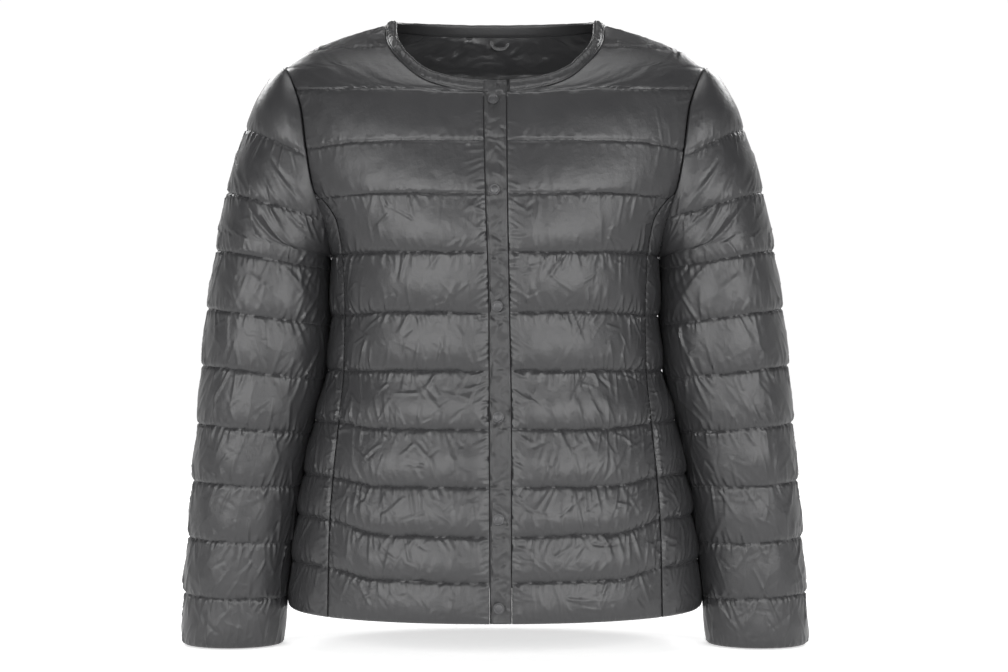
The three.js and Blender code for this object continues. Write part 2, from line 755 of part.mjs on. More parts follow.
// Neck binding
addPiece('neck_binding', barSolid(bindingSections(rightFront, back, leftFront)).geometry(), trimCloth);

// Plackets
const placketX = (column) => (z) => read(placketEdges, 'z', column, z);
const topOfPlacket = NECK_FRONT_Z - 1.4 * SEAM_GAP;
const topPlacket = placketGrids(topOfPlacket, placketX('seamX'), placketX('freeX'), 0, PLACKET_CROWN);
addWall('front_placket', topPlacket);
const lapStart = (z) => placketX('seamX')(z) + 1.5;
const lapEnd = (z) => placketX('freeX')(z) - SEAM_GAP;
const lapBack = PLACKET_WALL + SEAM_GAP;
addWall('under_placket', placketGrids(NECK_FRONT_Z, lapStart, lapEnd, lapBack, PLACKET_WALL));

// Snap caps
snapHeights.forEach((z, i) => {
  const cap = addPiece(`snap_cap_${i + 1}`, snapGeometry(), snapMetal);
  const x = (placketX('seamX')(z) + placketX('freeX')(z)) / 2 + SNAP_OFF_MIDDLE;
  const angle = angleAt(Math.abs(x), bodyOval(z, 'front').halfWidth) * Math.sign(x);
  const at = (height) => bodyPoint(height, 'front', angle);
  const slope = Math.atan2(at(z + SNAP_RADIUS).y - at(z - SNAP_RADIUS).y, 2 * SNAP_RADIUS);
  cap.rotation.set(Math.PI - slope, 0, 0);
  cap.position.set(x, at(z).y - PLACKET_CROWN - 1.6 * SEAM_GAP, z);
});

// Hanger loop
addPiece('hanger_loop', barSolid(loopSections()).geometry(), trimCloth);

export default jacket;
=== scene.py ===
# Light quilted down jacket with a round neck, in charcoal satin nylon, filled out as it is when worn.
# Sizes are in millimetres unless a name says otherwise, and MM turns them into metres.
import math

import bpy
import numpy as np
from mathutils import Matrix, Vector


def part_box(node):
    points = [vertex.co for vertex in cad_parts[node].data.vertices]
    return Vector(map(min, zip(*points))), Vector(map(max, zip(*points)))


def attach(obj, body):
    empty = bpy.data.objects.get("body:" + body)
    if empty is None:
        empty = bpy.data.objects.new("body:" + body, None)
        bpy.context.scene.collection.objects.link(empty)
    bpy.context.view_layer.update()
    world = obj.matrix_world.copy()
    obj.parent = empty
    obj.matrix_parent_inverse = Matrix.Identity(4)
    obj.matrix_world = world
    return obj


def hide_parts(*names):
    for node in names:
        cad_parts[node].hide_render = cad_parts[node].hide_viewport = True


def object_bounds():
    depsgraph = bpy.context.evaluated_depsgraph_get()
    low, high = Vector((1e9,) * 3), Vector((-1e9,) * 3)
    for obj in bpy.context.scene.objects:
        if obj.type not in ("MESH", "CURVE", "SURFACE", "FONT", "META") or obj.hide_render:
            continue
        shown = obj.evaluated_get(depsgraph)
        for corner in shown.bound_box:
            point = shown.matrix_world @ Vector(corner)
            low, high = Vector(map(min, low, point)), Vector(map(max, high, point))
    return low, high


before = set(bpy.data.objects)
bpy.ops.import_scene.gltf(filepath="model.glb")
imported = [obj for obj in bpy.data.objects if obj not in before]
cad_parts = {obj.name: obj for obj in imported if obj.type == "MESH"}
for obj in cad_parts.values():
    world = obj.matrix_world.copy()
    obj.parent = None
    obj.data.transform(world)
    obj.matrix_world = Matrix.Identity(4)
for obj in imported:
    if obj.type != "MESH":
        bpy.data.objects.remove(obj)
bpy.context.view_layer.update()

bpy.ops.object.select_all(action="DESELECT")
MM = 0.001


# Front panels
# The two fronts of the shell: satin nylon over down, lined with the same nylon, sewn through in level
# rows and set to the side panels at the princess seams. They are cut a little long and wide between
# the rows, so the down pushes them into cushions and the slack puckers at every line of stitches.
SEAM_GAP = 0.3
SEAM_WALL = 2.4
SEAM_RAMP = 22
POCKET_TOP_Z = -406
POCKET_BOTTOM_Z = -496
LINE_DEPTH = 1.0
SEEN_INSIDE_LINE = 2.2
ROUNDNESS = 2.2
CENTRE_Y = 5
SHOULDER_Z = -48
UNDERARM_Z = -235
NECK_FRONT_Z = -82
HEM_Z = -582
ARMHOLE_HALF_DEPTH = 56
ARMHOLE_SQUARENESS = 0.425
CLOTH_STEP = 4.2
EYE_Z = -314
EYE_AWAY = 1950
AXIS_COLUMN = 495
PICTURE_WIDTH = 1008
PICTURE_MIDDLE = 336


def table(columns, *rows):
    return {name: np.array([row[i] for row in rows], float) for i, name in enumerate(columns.split())}


body_depths = table(
    "z front back",
    (10, 0, 68), (-5, 4, 72), (-20, 20, 80), (-31, 42, 84), (-48, 62, 90), (-70, 80, 96), (-82, 88, 98),
    (-130, 102, 103), (-180, 112, 103), (-235, 116, 97), (-292, 113, 88), (-347, 113, 84),
    (-402, 119, 90), (-456, 126, 102), (-502, 131, 112), (-544, 135, 119), (-582, 137, 123),
)
body_widths = table(
    "z x",
    (-235, 160), (-292, 160), (-347, 164), (-402, 178), (-456, 189), (-502, 196), (-544, 200.5),
    (-582, 202.5),
)
armhole_seam = table(
    "z x",
    (-48, 208), (-60, 201), (-75, 194), (-92, 188.5), (-129, 183), (-164, 177), (-194, 168), (-212, 163),
    (-235, 160),
)
shoulder_seam = table("z x", (10, 90), (-5, 111), (-14, 140), (-26, 172), (-37, 194), (-48, 208))
neck_edge = table(
    "z x", (-82, 14), (-79.5, 36), (-69, 68), (-53, 88), (-36, 102), (-20, 108.5), (-5, 110)
)
princess_seam = table(
    "z x",
    (-174, 174.6), (-180, 167.5), (-188, 160.5), (-203, 152), (-235, 147), (-292, 144.5), (-347, 145.5),
    (-402, 150), (-456, 155), (-502, 157.5), (-582, 158.5),
)
placket_edges = table(
    "z seam free",
    (-60, -11.4, 10.8), (-82, -11.2, 11), (-176, -9.2, 11.8), (-292, -5.8, 13.8), (-402, -5.5, 15.6),
    (-582, -4.6, 15.3),
)
front_quilting = table(
    "inner middle side crown slack pucker crumple",
    (-6, -5.8, -5.6, 3, 0, 0.3, 0), (-31, -31, -31, 3.3, 0.03, 0.22, 0), (-82, -76, -73, 3.2, 0, 0.18, 0),
    (-129, -128, -132, 3.3, 0.03, 0.3, 0), (-180, -178, -180, 6.6, 0.4, 0.8, 0.2),
    (-235, -234, -235, 8.2, 0.6, 1, 0.35), (-292, -291, -294, 8.2, 0.65, 1, 0.5),
    (-347, -347, -348, 8.2, 0.65, 1, 0.65), (-402, -402, -398, 8.2, 0.7, 0.95, 0.9),
    (-456, -456, -450, 8, 0.75, 0.85, 1), (-502, -501, -490, 7.6, 0.75, 0.8, 1),
    (-544, -543, -535, 7, 0.6, 0.7, 1), (-582, -582, -582, 0, 0.5, 0.5, 1),
)


def along(rows, key, column, at):
    """Smooth curve through a column of a table, read at a value of its key."""
    x, y = rows[key], rows[column]
    if x[0] > x[-1]:
        x, y = x[::-1], y[::-1]
    slope = np.diff(y) / np.diff(x)
    before, after = slope[:-1], slope[1:]
    bends = before * after > 0
    inner = np.where(bends, 2 * before * after / np.where(bends, before + after, 1), 0)
    tangent = np.concatenate([slope[:1], inner, slope[-1:]])
    at = np.clip(np.asarray(at, float), x[0], x[-1])
    i = np.clip(np.searchsorted(x, at, side="right") - 1, 0, len(x) - 2)
    span = x[i + 1] - x[i]
    t = (at - x[i]) / span
    rise = t * t * (3 - 2 * t)
    bend = t * (1 - t) * (1 - t) * tangent[i] + t * t * (t - 1) * tangent[i + 1]
    return y[i] * (1 - rise) + y[i + 1] * rise + span * bend


def at_line(rows, column, line):
    return np.interp(line, np.arange(len(rows[column])), rows[column])


def ease(value, low, high):
    t = np.clip((value - low) / (high - low), 0, 1)
    return t * t * (3 - 2 * t)


def armhole_depth(z):
    middle, half = (SHOULDER_Z + UNDERARM_Z) / 2, (SHOULDER_Z - UNDERARM_Z) / 2
    level = np.clip((z - middle) / half, -1, 1)
    return ARMHOLE_HALF_DEPTH * (1 - level * level) ** ARMHOLE_SQUARENESS


def body_end_x(z):
    upper = np.where(
        z >= SHOULDER_Z, along(shoulder_seam, "z", "x", z), along(armhole_seam, "z", "x", z)
    )
    return np.where(z > UNDERARM_Z, upper, along(body_widths, "z", "x", z))


def body_oval(z, face):
    """Half width and depth of the oval body section that runs through the armhole seam."""
    depth = along(body_depths, "z", face, z) + (CENTRE_Y if face == "front" else -CENTRE_Y)
    cut = np.minimum(armhole_depth(z) / np.maximum(depth, 1), 0.999) ** ROUNDNESS
    return body_end_x(z) / (1 - cut) ** (1 / ROUNDNESS), depth


def angle_at(x, half_width):
    return np.arcsin(np.minimum((np.abs(x) / half_width) ** (ROUNDNESS / 2), 1)) * np.sign(x)


def body_point(z, face, angle):
    half_width, depth = body_oval(z, face)
    power = 2 / ROUNDNESS
    across = half_width * np.abs(np.sin(angle)) ** power * np.sign(angle)
    away = depth * np.maximum(np.cos(angle), 0) ** power
    side = -1 if face == "front" else 1
    return np.stack([across, CENTRE_Y + side * (away + SEAM_GAP / 2), z + 0 * across], axis=-1)


def front_surface(side):
    def surface(u, line):
        inner, middle, outer = (at_line(front_quilting, c, line) for c in ("inner", "middle", "side"))
        z = middle + (inner - middle) * (1 - ease(u, 0, 0.45)) + (outer - middle) * ease(u, 0.6, 1)
        placket = np.abs(along(placket_edges, "z", "seam" if side < 0 else "free", inner))
        start_x = np.where(
            inner > NECK_FRONT_Z, along(neck_edge, "z", "x", inner), placket + 1.5 * SEAM_GAP
        )
        princess = along(princess_seam, "z", "x", outer) - SEAM_GAP / 2
        end_x = np.where(outer < princess_seam["z"][0], princess, body_end_x(outer))
        start = angle_at(start_x, body_oval(inner, "front")[0])
        end = angle_at(end_x, body_oval(outer, "front")[0])
        return body_point(z, "front", (start + (end - start) * u) * side)

    return surface


def quilt_lines(quilting, column, first, last, step):
    """Row numbers of a cloth grid, with an even count in each baffle and one row on each quilt line."""
    lines = []
    for base in range(int(first), int(math.ceil(last))):
        top, bottom = max(first, base), min(last, base + 1)
        height = abs(at_line(quilting, column, bottom) - at_line(quilting, column, top))
        count = max(2, 2 * round(height / step / 2))
        lines += list(top + (bottom - top) * np.arange(count) / count)
    return np.array(lines + [last])


def cloth_grid(surface, lines, columns, middle):
    u, line = np.meshgrid(np.linspace(0, 1, columns), lines)
    points = surface(u, line)
    normals = grid_normals(points)
    outward = points - middle(line)
    flip = np.sign(np.median((normals * outward).sum(-1)))
    return points, normals * flip, u, line, flip


def jacket_axis(line):
    return line[..., None] * 0 + (0, CENTRE_Y, -200)


def grid_normals(points):
    down, across = np.gradient(points, axis=0), np.gradient(points, axis=1)
    normals = np.cross(across, down)
    return normals / np.maximum(np.linalg.norm(normals, axis=-1, keepdims=True), 1e-9)


def smooth_noise(x, y, seed):
    """Even random waves about 1 unit apart, from -1 to 1."""
    angles = np.random.default_rng(seed).random((64, 64)) * 2 * np.pi
    xi, yi = np.floor(x).astype(int), np.floor(y).astype(int)
    fx, fy = x - xi, y - yi
    total = 0
    for dx in (0, 1):
        for dy in (0, 1):
            angle = angles[(xi + dx) % 64, (yi + dy) % 64]
            weight = ease(1 - abs(fx - dx), 0, 1) * ease(1 - abs(fy - dy), 0, 1)
            total = total + weight * (np.cos(angle) * (fx - dx) + np.sin(angle) * (fy - dy))
    return total * 1.5


def spread_mm(points, axis):
    """Distance in millimetres along the rows or columns of a grid."""
    steps = np.linalg.norm(np.diff(points, axis=axis), axis=-1)
    start = np.zeros_like(np.take(steps, [0], axis=axis))
    return np.concatenate([start, np.cumsum(steps, axis=axis)], axis=axis)


def baffle_rise(line, sag=1.3):
    """Height of a baffle between its quilt lines, with the down hanging low in it."""
    return np.abs(np.sin(np.pi * (line - np.floor(line)) ** sag)) ** 0.7


def put_in_scene(name, data):
    piece = bpy.data.objects.new(name, data)
    bpy.context.scene.collection.objects.link(piece)
    return piece


def grid_mesh(name, points, number, flip):
    """Mesh of a grid of points in millimetres, which are joined by the given numbers."""
    corners = [number[:-1, :-1], number[:-1, 1:], number[1:, 1:], number[1:, :-1]][:: 1 if flip > 0 else -1]
    mesh = bpy.data.meshes.new(name)
    mesh.from_pydata((points.reshape(-1, 3) * MM).tolist(), [], np.stack(corners, -1).reshape(-1, 4).tolist())
    return put_in_scene(name, mesh)


DOWN_FILLING = dict(
    quality=4, mass=0.15, tension_stiffness=15, compression_stiffness=15, shear_stiffness=5,
    bending_stiffness=0.15, air_damping=2, use_pressure=True, uniform_pressure_force=4,
    vertex_group_mass="sewn", vertex_group_shrink="slack", shrink_min=0, shrink_max=-0.11,
)


def fill_with_down(name, start, sewn, slack, number, flip, frames=20):
    """Blows a slack grid of cloth up between its sewn points, which stay where they are."""
    piece = grid_mesh(name + "_cloth", start, number, flip)
    for group, weights in (("sewn", sewn.astype(float)), ("slack", slack)):
        vertex_group = piece.vertex_groups.new(name=group)
        for level in np.unique(np.round(weights, 2)):
            if level > 0:
                chosen = np.unique(number[np.round(weights, 2) == level])
                vertex_group.add(chosen.tolist(), float(level), "REPLACE")
    cloth = piece.modifiers.new("cloth", "CLOTH")
    for key, value in DOWN_FILLING.items():
        setattr(cloth.settings, key, value)
    cloth.settings.effector_weights.gravity = 0
    cloth.collision_settings.use_collision = False
    cloth.point_cache.frame_start = 1
    cloth.point_cache.frame_end = frames + 1
    for step in range(1, frames + 1):
        bpy.context.scene.frame_set(step)
    evaluated = piece.evaluated_get(bpy.context.evaluated_depsgraph_get())
    blown = np.zeros(len(piece.data.vertices) * 3)
    evaluated.to_mesh().vertices.foreach_get("co", blown)
    evaluated.to_mesh_clear()
    bpy.context.scene.frame_set(1)
    bpy.data.meshes.remove(piece.data)
    return blown.reshape(-1, 3)[number] / MM


def finer(grid, axis, times):
    """Divides the rows or columns of a grid along smooth curves through its points."""
    grid = np.moveaxis(grid, axis, 0)
    padded = np.concatenate([2 * grid[:1] - grid[1:2], grid, 2 * grid[-1:] - grid[-2:-1]])
    step = np.arange((len(grid) - 1) * times + 1)
    i = np.minimum(step // times, len(grid) - 2)
    t = (step / times - i).reshape(-1, *[1] * (grid.ndim - 1))
    a, b, c, d = (padded[i + k] for k in range(4))
    curve = b + 0.5 * t * (c - a + t * (2 * a - 5 * b + 4 * c - d + t * (3 * (b - c) + d - a)))
    return np.moveaxis(curve, 0, axis)


def strip(faces, points, first, second, flip):
    """Faces between two lines of point numbers that start and end together."""
    i = j = 0
    while i + 1 < len(first) or j + 1 < len(second):
        can_first, can_second = i + 1 < len(first), j + 1 < len(second)
        ahead = can_first and (
            not can_second
            or np.linalg.norm(points[first[i + 1]] - points[second[j]])
            <= np.linalg.norm(points[first[i]] - points[second[j + 1]])
        )
        face = (first[i], first[i + 1], second[j]) if ahead else (first[i], second[j + 1], second[j])
        if len(set(face)) == 3:
            faces.append(face[::-1] if flip else face)
        i, j = (i + 1, j) if ahead else (i, j + 1)


def grid_faces(number, flip=False):
    corners = [number[:-1, :-1], number[1:, :-1], number[1:, 1:], number[:-1, 1:]]
    return np.stack(corners[::-1] if flip else corners, -1).reshape(-1, 4).tolist()


SHARP_FROM = 58


def quilted_piece(name, outer, lining, slit=None):
    """Closed padded piece from the grid of its shell and that of its lining. A sleeve has a slit."""
    inner_slit = None if slit is None else 2 * slit * (len(lining) - 1) // (len(outer) - 1)
    shell = np.arange(outer.shape[0] * outer.shape[1]).reshape(outer.shape[:2])
    inside = shell.size + np.arange(lining.shape[0] * lining.shape[1]).reshape(lining.shape[:2])
    if slit is not None:
        shell[2 * slit:, -1] = shell[2 * slit:, 0]
        inside[inner_slit:, -1] = inside[inner_slit:, 0]
    points = np.concatenate([outer.reshape(-1, 3), lining.reshape(-1, 3)])
    faces = grid_faces(shell) + grid_faces(inside, True)
    shell_end, inside_end = (2 * slit + 1, inner_slit + 1) if slit else (None, None)
    strip(faces, points, shell[:shell_end, 0], inside[:inside_end, 0], True)
    strip(faces, points, shell[:shell_end, -1], inside[:inside_end, -1], False)
    strip(faces, points, shell[0], inside[0], False)
    strip(faces, points, shell[-1], inside[-1], True)
    used, compact = np.unique(np.concatenate([np.ravel(face) for face in faces]), return_inverse=True)
    lengths = [len(face) for face in faces]
    cuts = np.split(compact, np.cumsum(lengths)[:-1])
    mesh = bpy.data.meshes.new(name)
    mesh.from_pydata((points[used] * MM).tolist(), [], [cut.tolist() for cut in cuts])
    mesh.validate()
    return smoothed_piece(name, mesh)


def smoothed_piece(name, mesh):
    """Piece with its faces outwards, smooth but for its sharp rims."""
    if sum(face_volume(mesh)) < 0:
        mesh.flip_normals()
    mesh.shade_smooth()
    mesh.set_sharp_from_angle(angle=math.radians(SHARP_FROM))
    return put_in_scene(name, mesh)


def face_volume(mesh):
    points = np.zeros(len(mesh.vertices) * 3)
    mesh.vertices.foreach_get("co", points)
    points = points.reshape(-1, 3)
    mesh.calc_loop_triangles()
    corners = np.zeros(len(mesh.loop_triangles) * 3, int)
    mesh.loop_triangles.foreach_get("vertices", corners)
    a, b, c = points[corners].reshape(-1, 3, 3).transpose(1, 0, 2)
    return (a * np.cross(b, c)).sum(-1) / 6


def add_fold(height, x, y, start, way, length, widths, rise, bend=0.0):
    """Adds a ridge (or a trough, if its rise is negative) that narrows to a point and fades along its way."""
    ends = np.array([start, (start[0] + way[0] * length, start[1] + way[1] * length)])
    pad = 3.2 * max(widths) + abs(bend) * length * length
    level = y[:, y.shape[1] // 2]
    top, bottom = np.searchsorted(level, [ends[:, 1].min() - pad - 6, ends[:, 1].max() + pad + 6])
    if bottom - top < 2:
        return
    place = x[(top + bottom - 1) // 2]
    left, right = np.searchsorted(place, [ends[:, 0].min() - pad - 4, ends[:, 0].max() + pad + 4])
    if right - left < 2:
        return
    part = (slice(top, bottom), slice(left, right))
    dx, dy = x[part] - start[0], y[part] - start[1]
    ahead = (dx * way[0] + dy * way[1]) / length
    off = dy * way[0] - dx * way[1] - bend * (ahead * length) ** 2
    width = widths[0] + (widths[1] - widths[0]) * np.clip(ahead, 0, 1)
    off = off / width
    ridge = np.exp(-1.3 * (np.sqrt(off * off + 0.12) - 0.346)) - 0.38 * np.exp(-((off / 2.4) ** 2))
    fade = ease(ahead, -0.06, 0.08) * np.clip(1 - ahead, 0, 1) ** 0.8
    height[part] += rise * ridge * fade


def fold_between(height, across, down, start_at, end_at, widths, rise):
    """Adds a fold from one place of the grid to another."""
    start = (across[start_at], down[start_at])
    way = np.array([across[end_at] - start[0], down[end_at] - start[1]])
    length = float(np.hypot(*way))
    add_fold(height, across, down, start, tuple(way / length), length, widths, rise)


def sewn_folds(across, down, line, quilting, seed):
    """Heights of the puckers along every seam and of the sharp creases of thin nylon between them."""
    pick = np.random.default_rng(seed)
    height = np.zeros_like(across)
    width = across[:, -1].max()
    last = len(quilting["pucker"]) - 1
    rows = np.arange(len(line))
    for k in range(int(np.ceil(line[0, 0] - 1e-6)), last + 1):
        row = int(np.round(np.interp(k, line[:, 0], rows)))
        for way in (-1, 1):
            baffle = k if way > 0 else k - 1
            if baffle < 0 or baffle >= last:
                continue
            loud = quilting["pucker"][baffle]
            place = pick.uniform(2, 8)
            while place < across[row, -1] - 2:
                to_edge = min(place, across[row, -1] - place)
                strong = max(loud, 0.85 * float(np.exp(-((to_edge / 34) ** 2))))
                is_long = pick.random() < 0.36 * loud
                length = pick.uniform(22, 42) if is_long else pick.uniform(7, 20)
                slant = 0.55 * float(smooth_noise(np.array(place / 55), np.array(baffle * 3.3 + way), seed))
                slant += pick.normal(0, 0.28)
                norm = math.hypot(slant, 1)
                column = min(int(np.searchsorted(across[row], place)), across.shape[1] - 1)
                start = (place, down[row, column] + 0.4 * way)
                rise = pick.uniform(0.9, 2.6) * strong * (1.1 if is_long else 1)
                widths = (pick.uniform(0.8, 1.25), pick.uniform(1.7, 3.4))
                add_fold(height, across, down, start, (slant / norm, way / norm), length, widths, rise)
                place += pick.uniform(3, 8.5) / (0.45 + 0.55 * strong)
    for edge, way in ((0, 1), (-1, -1)):
        place = pick.uniform(2, 7)
        while place < down[-1, edge] - 3:
            row = min(int(np.searchsorted(down[:, edge], place)), len(line) - 1)
            loud = max(0.45, float(at_line(quilting, "pucker", line[row, 0])))
            slant = pick.normal(0, 0.5)
            norm = math.hypot(slant, 1)
            length = pick.uniform(5, 13) if pick.random() < 0.75 else pick.uniform(14, 26)
            start = (across[row, edge] + 0.5 * way, place)
            widths = (pick.uniform(0.8, 1.1), pick.uniform(1.4, 2.6))
            rise = pick.uniform(1.1, 2.6) * loud
            add_fold(height, across, down, start, (way / norm, slant / norm), length, widths, rise)
            place += pick.uniform(3.5, 8)
    for baffle in range(int(line[0, 0]), last):
        ends = (max(baffle, line[0, 0]), baffle + 1)
        top, bottom = (float(np.interp(end, line[:, 0], down[:, down.shape[1] // 2])) for end in ends)
        count = int(width * (bottom - top) / 1000 * 4 * quilting["crumple"][baffle])
        for _ in range(count):
            start = (pick.uniform(0, width), pick.uniform(top + 4, bottom - 4))
            angle = pick.uniform(0.25, 1.3) * pick.choice((-1, 1))
            way = (math.cos(angle), math.sin(angle))
            length = pick.uniform(9, 36)
            room = (bottom - 2 - start[1]) if way[1] > 0 else (start[1] - top - 2)
            length = min(length, room / abs(way[1]))
            if length > 5:
                rise = pick.uniform(0.6, 1.5) * pick.choice((-1, 1, 1))
                widths = (pick.uniform(0.8, 1.3), pick.uniform(1.1, 2.2))
                add_fold(height, across, down, start, way, length, widths, rise, pick.normal(0, 0.006))
    return height


def shape_quilting(
    name, surface, quilting, lines, columns, middle=jacket_axis, quiet=None, slit=None, folds=(), times=3,
    row_times=2, grooves=(1.0, 1.0), pocket_edge=None, inside_folds=None, seed=0,
):
    """Shell and lining grids of one quilted panel, or of a sleeve that is closed from row slit on."""
    base, normals, u, line, flip = cloth_grid(surface, lines, columns, middle)
    number = np.arange(u.size).reshape(u.shape)
    if slit is not None:
        number[slit:, -1] = number[slit:, 0]
        seam = normals[slit:, 0] + normals[slit:, -1]
        normals[slit:, 0] = normals[slit:, -1] = seam / np.linalg.norm(seam, axis=-1, keepdims=True)
    from_start = spread_mm(base, 1)
    to_seam = np.minimum(from_start, from_start[:, -1:] - from_start)
    if slit is not None:
        fade = np.clip((line - lines[slit]) / 0.3, 0, 1)
        to_seam = to_seam + (SEAM_RAMP - np.minimum(to_seam, SEAM_RAMP)) * 0.75 * fade
    edge = 1 - (1 - np.minimum(to_seam / SEAM_RAMP, 1)) ** 2
    crown = quilting["crown"][np.minimum(np.floor(line).astype(int), len(quilting["crown"]) - 1)]
    loud = 1 if quiet is None else 1 - quiet(u, line)
    rise = np.maximum(crown - SEAM_WALL, 0) * baffle_rise(line) * edge * loud
    down = spread_mm(base, 0)
    waves = smooth_noise(from_start / 11, line * 3, seed) * baffle_rise(line) * edge
    start = base + normals * (SEAM_WALL + 0.6 * rise + 0.5 * waves)[..., None]
    on_line = np.isclose(line, np.round(line))
    sewn = on_line | (u == 0) | (u == 1)
    sewn[0] = sewn[-1] = True
    inside = on_line & (u > 0) & (u < 1)
    inside[0] = inside[-1] = False
    wander = smooth_noise(from_start / 14, line * 7 + 0.5, seed + 5)
    dip = smooth_noise(from_start / 9, line * 5 + 0.3, seed + 6)
    start = start + inside[..., None] * (wander[..., None] * (0, 0, 0.8) + normals * (0.5 * dip[..., None]))
    slack = np.clip(at_line(quilting, "slack", line) * (0.35 + 0.65 * np.minimum(edge * 2, 1)), 0, 1) + 0 * u
    if slit is not None:
        start[slit:, -1] = start[slit:, 0]
    shell = fill_with_down(name, start, sewn, slack, number, flip)
    stand = ((shell - base) * normals).sum(-1)
    sag = np.clip(baffle_rise(line) / np.maximum(baffle_rise(line, 1), 0.05), 0.4, 1.25)
    shell = shell + normals * (np.where(sewn, 0, (stand - SEAM_WALL) * (sag - 1)))[..., None]
    stand = ((shell - base) * normals).sum(-1)
    most = SEAM_WALL + rise * 1.35 + 2.0 * loud
    least = SEAM_WALL * 0.6 + 0.2 * rise
    shell = shell + normals * (np.clip(stand, least, most) - stand)[..., None]
    fine_count = row_times * (len(lines) - 1) + 1
    line_fine = np.interp(np.linspace(0, 1, fine_count), np.linspace(0, 1, len(lines)), lines)
    fine = finer(finer(shell, 0, row_times), 1, times)
    fine_base = finer(finer(base, 0, row_times), 1, times)
    across, down_fine = spread_mm(fine_base, 1), spread_mm(fine_base, 0)
    line_grid = np.broadcast_to(line_fine[:, None], across.shape)
    relief = sewn_folds(across, down_fine, line_grid, quilting, seed + 11)
    for start_place, end_place, width, height in folds:
        ends = [nearest_in_picture(fine_base, *place) for place in (start_place, end_place)]
        fold_between(relief, across, down_fine, *ends, (0.5 * width, width), height)
    line_rows = rows_on_lines(line_fine)
    from_line = np.min([np.abs(down_fine - down_fine[i]) for i in line_rows], axis=0)
    ragged = smooth_noise(across / 2.8, line_grid * 9, seed + 40)
    relief = relief + 0.6 * ragged * np.exp(-(((from_line - 2.2) / 2.4) ** 2))
    relief = relief - LINE_DEPTH * np.exp(-((from_line / 1.3) ** 2))
    border = np.minimum(across, across[:, -1:] - across)
    relief = relief * np.minimum(border / 2.5, 1)
    relief[0] = relief[-1] = 0
    is_open = 1 if slit is None else line_grid < UNDERARM_LINE
    groove = np.where(across < across[:, -1:] / 2, *grooves) * is_open * np.clip(1 - border / 1.7, 0, 1)
    if pocket_edge is not None:
        from_edge = across if pocket_edge == 0 else across[:, -1:] - across
        z = fine_base[..., 2]
        is_pocket = ease(z, POCKET_BOTTOM_Z - 6, POCKET_BOTTOM_Z)
        is_pocket = is_pocket * (1 - ease(z, POCKET_TOP_Z, POCKET_TOP_Z + 6))
        slash = 1.4 * np.clip(1 - from_edge / 2.4, 0, 1) if pocket_edge else 0
        groove = groove + is_pocket * (slash - 0.5 * np.exp(-(((from_edge - 4) / 1.6) ** 2)))
    relief = relief - groove
    relief = relief - 1.3 * np.clip(1 - (down_fine[-1:] - down_fine) / 2.6, 0, 1) ** 2
    fine_normals = finer(finer(normals, 0, row_times), 1, times)
    fine = fine + fine_normals * relief[..., None]
    puff = 0.5 + 1.1 * baffle_rise(line) * edge + 0.5 * smooth_noise(from_start / 12, down / 9, seed + 20)
    puff = np.where(sewn, 0, puff)
    lining = base - normals * puff[..., None]
    if inside_folds is not None:
        lining = finer(finer(lining, 0, row_times), 1, 2)
        inside_base = finer(finer(base, 0, row_times), 1, 2)
        inside_normals = finer(finer(normals, 0, row_times), 1, 2)
        across, down_fine = spread_mm(inside_base, 1), spread_mm(inside_base, 0)
        line_grid = np.broadcast_to(line_fine[:, None], across.shape)
        loose = dict(quilting, pucker=np.full(13, 0.7), crumple=np.full(13, 0.35))
        creases = sewn_folds(across, down_fine, line_grid, loose, seed + 31)
        for start_place, end_place, width, height in inside_folds:
            ends = [nearest_in_picture(inside_base, *at, behind=True) for at in (start_place, end_place)]
            fold_between(creases, across, down_fine, *ends, (0.6 * width, width), 1.5 * height)
        creases[0] = creases[-1] = creases[:, 0] = creases[:, -1] = 0
        lining = lining - inside_normals * creases[..., None]
        last = len(line_fine) - 1
        seen = line_fine < SEEN_INSIDE_LINE
        lining = lining[[i for i in range(last + 1) if seen[i] or i % 4 == 0 or i == last]]
    if slit is not None:
        fine[2 * slit:, -1] = fine[2 * slit:, 0]
        lining[slit:, -1] = lining[slit:, 0]
    return fine, lining


def rows_on_lines(lines):
    return [i for i, at in enumerate(lines) if abs(at - round(at)) < 1e-6 and 0 < i < len(lines) - 1]


def nearest_in_picture(points, column, row, behind=False):
    """Grid place of the point at the front, or behind at the back, that shows at a pixel of the picture."""
    x, y, z = np.moveaxis(points, -1, 0)
    scale = EYE_AWAY / (EYE_AWAY + y)
    off = (AXIS_COLUMN + x * scale - column) ** 2 + (PICTURE_MIDDLE + (EYE_Z - z) * scale - row) ** 2
    return np.unravel_index(np.argmin(off + np.where((y > CENTRE_Y) != behind, 1e6, 0)), off.shape)


def take_seam_rows(outer, lines):
    """Points along each quilt line of a finished shell."""
    step = (len(outer) - 1) // (len(lines) - 1)
    return [outer[step * i] for i in rows_on_lines(lines)]


def add_node(nodes, kind, **values):
    node = nodes.new("ShaderNode" + kind)
    for key, value in values.items():
        node.inputs[key.replace("_", " ")].default_value = value
    return node


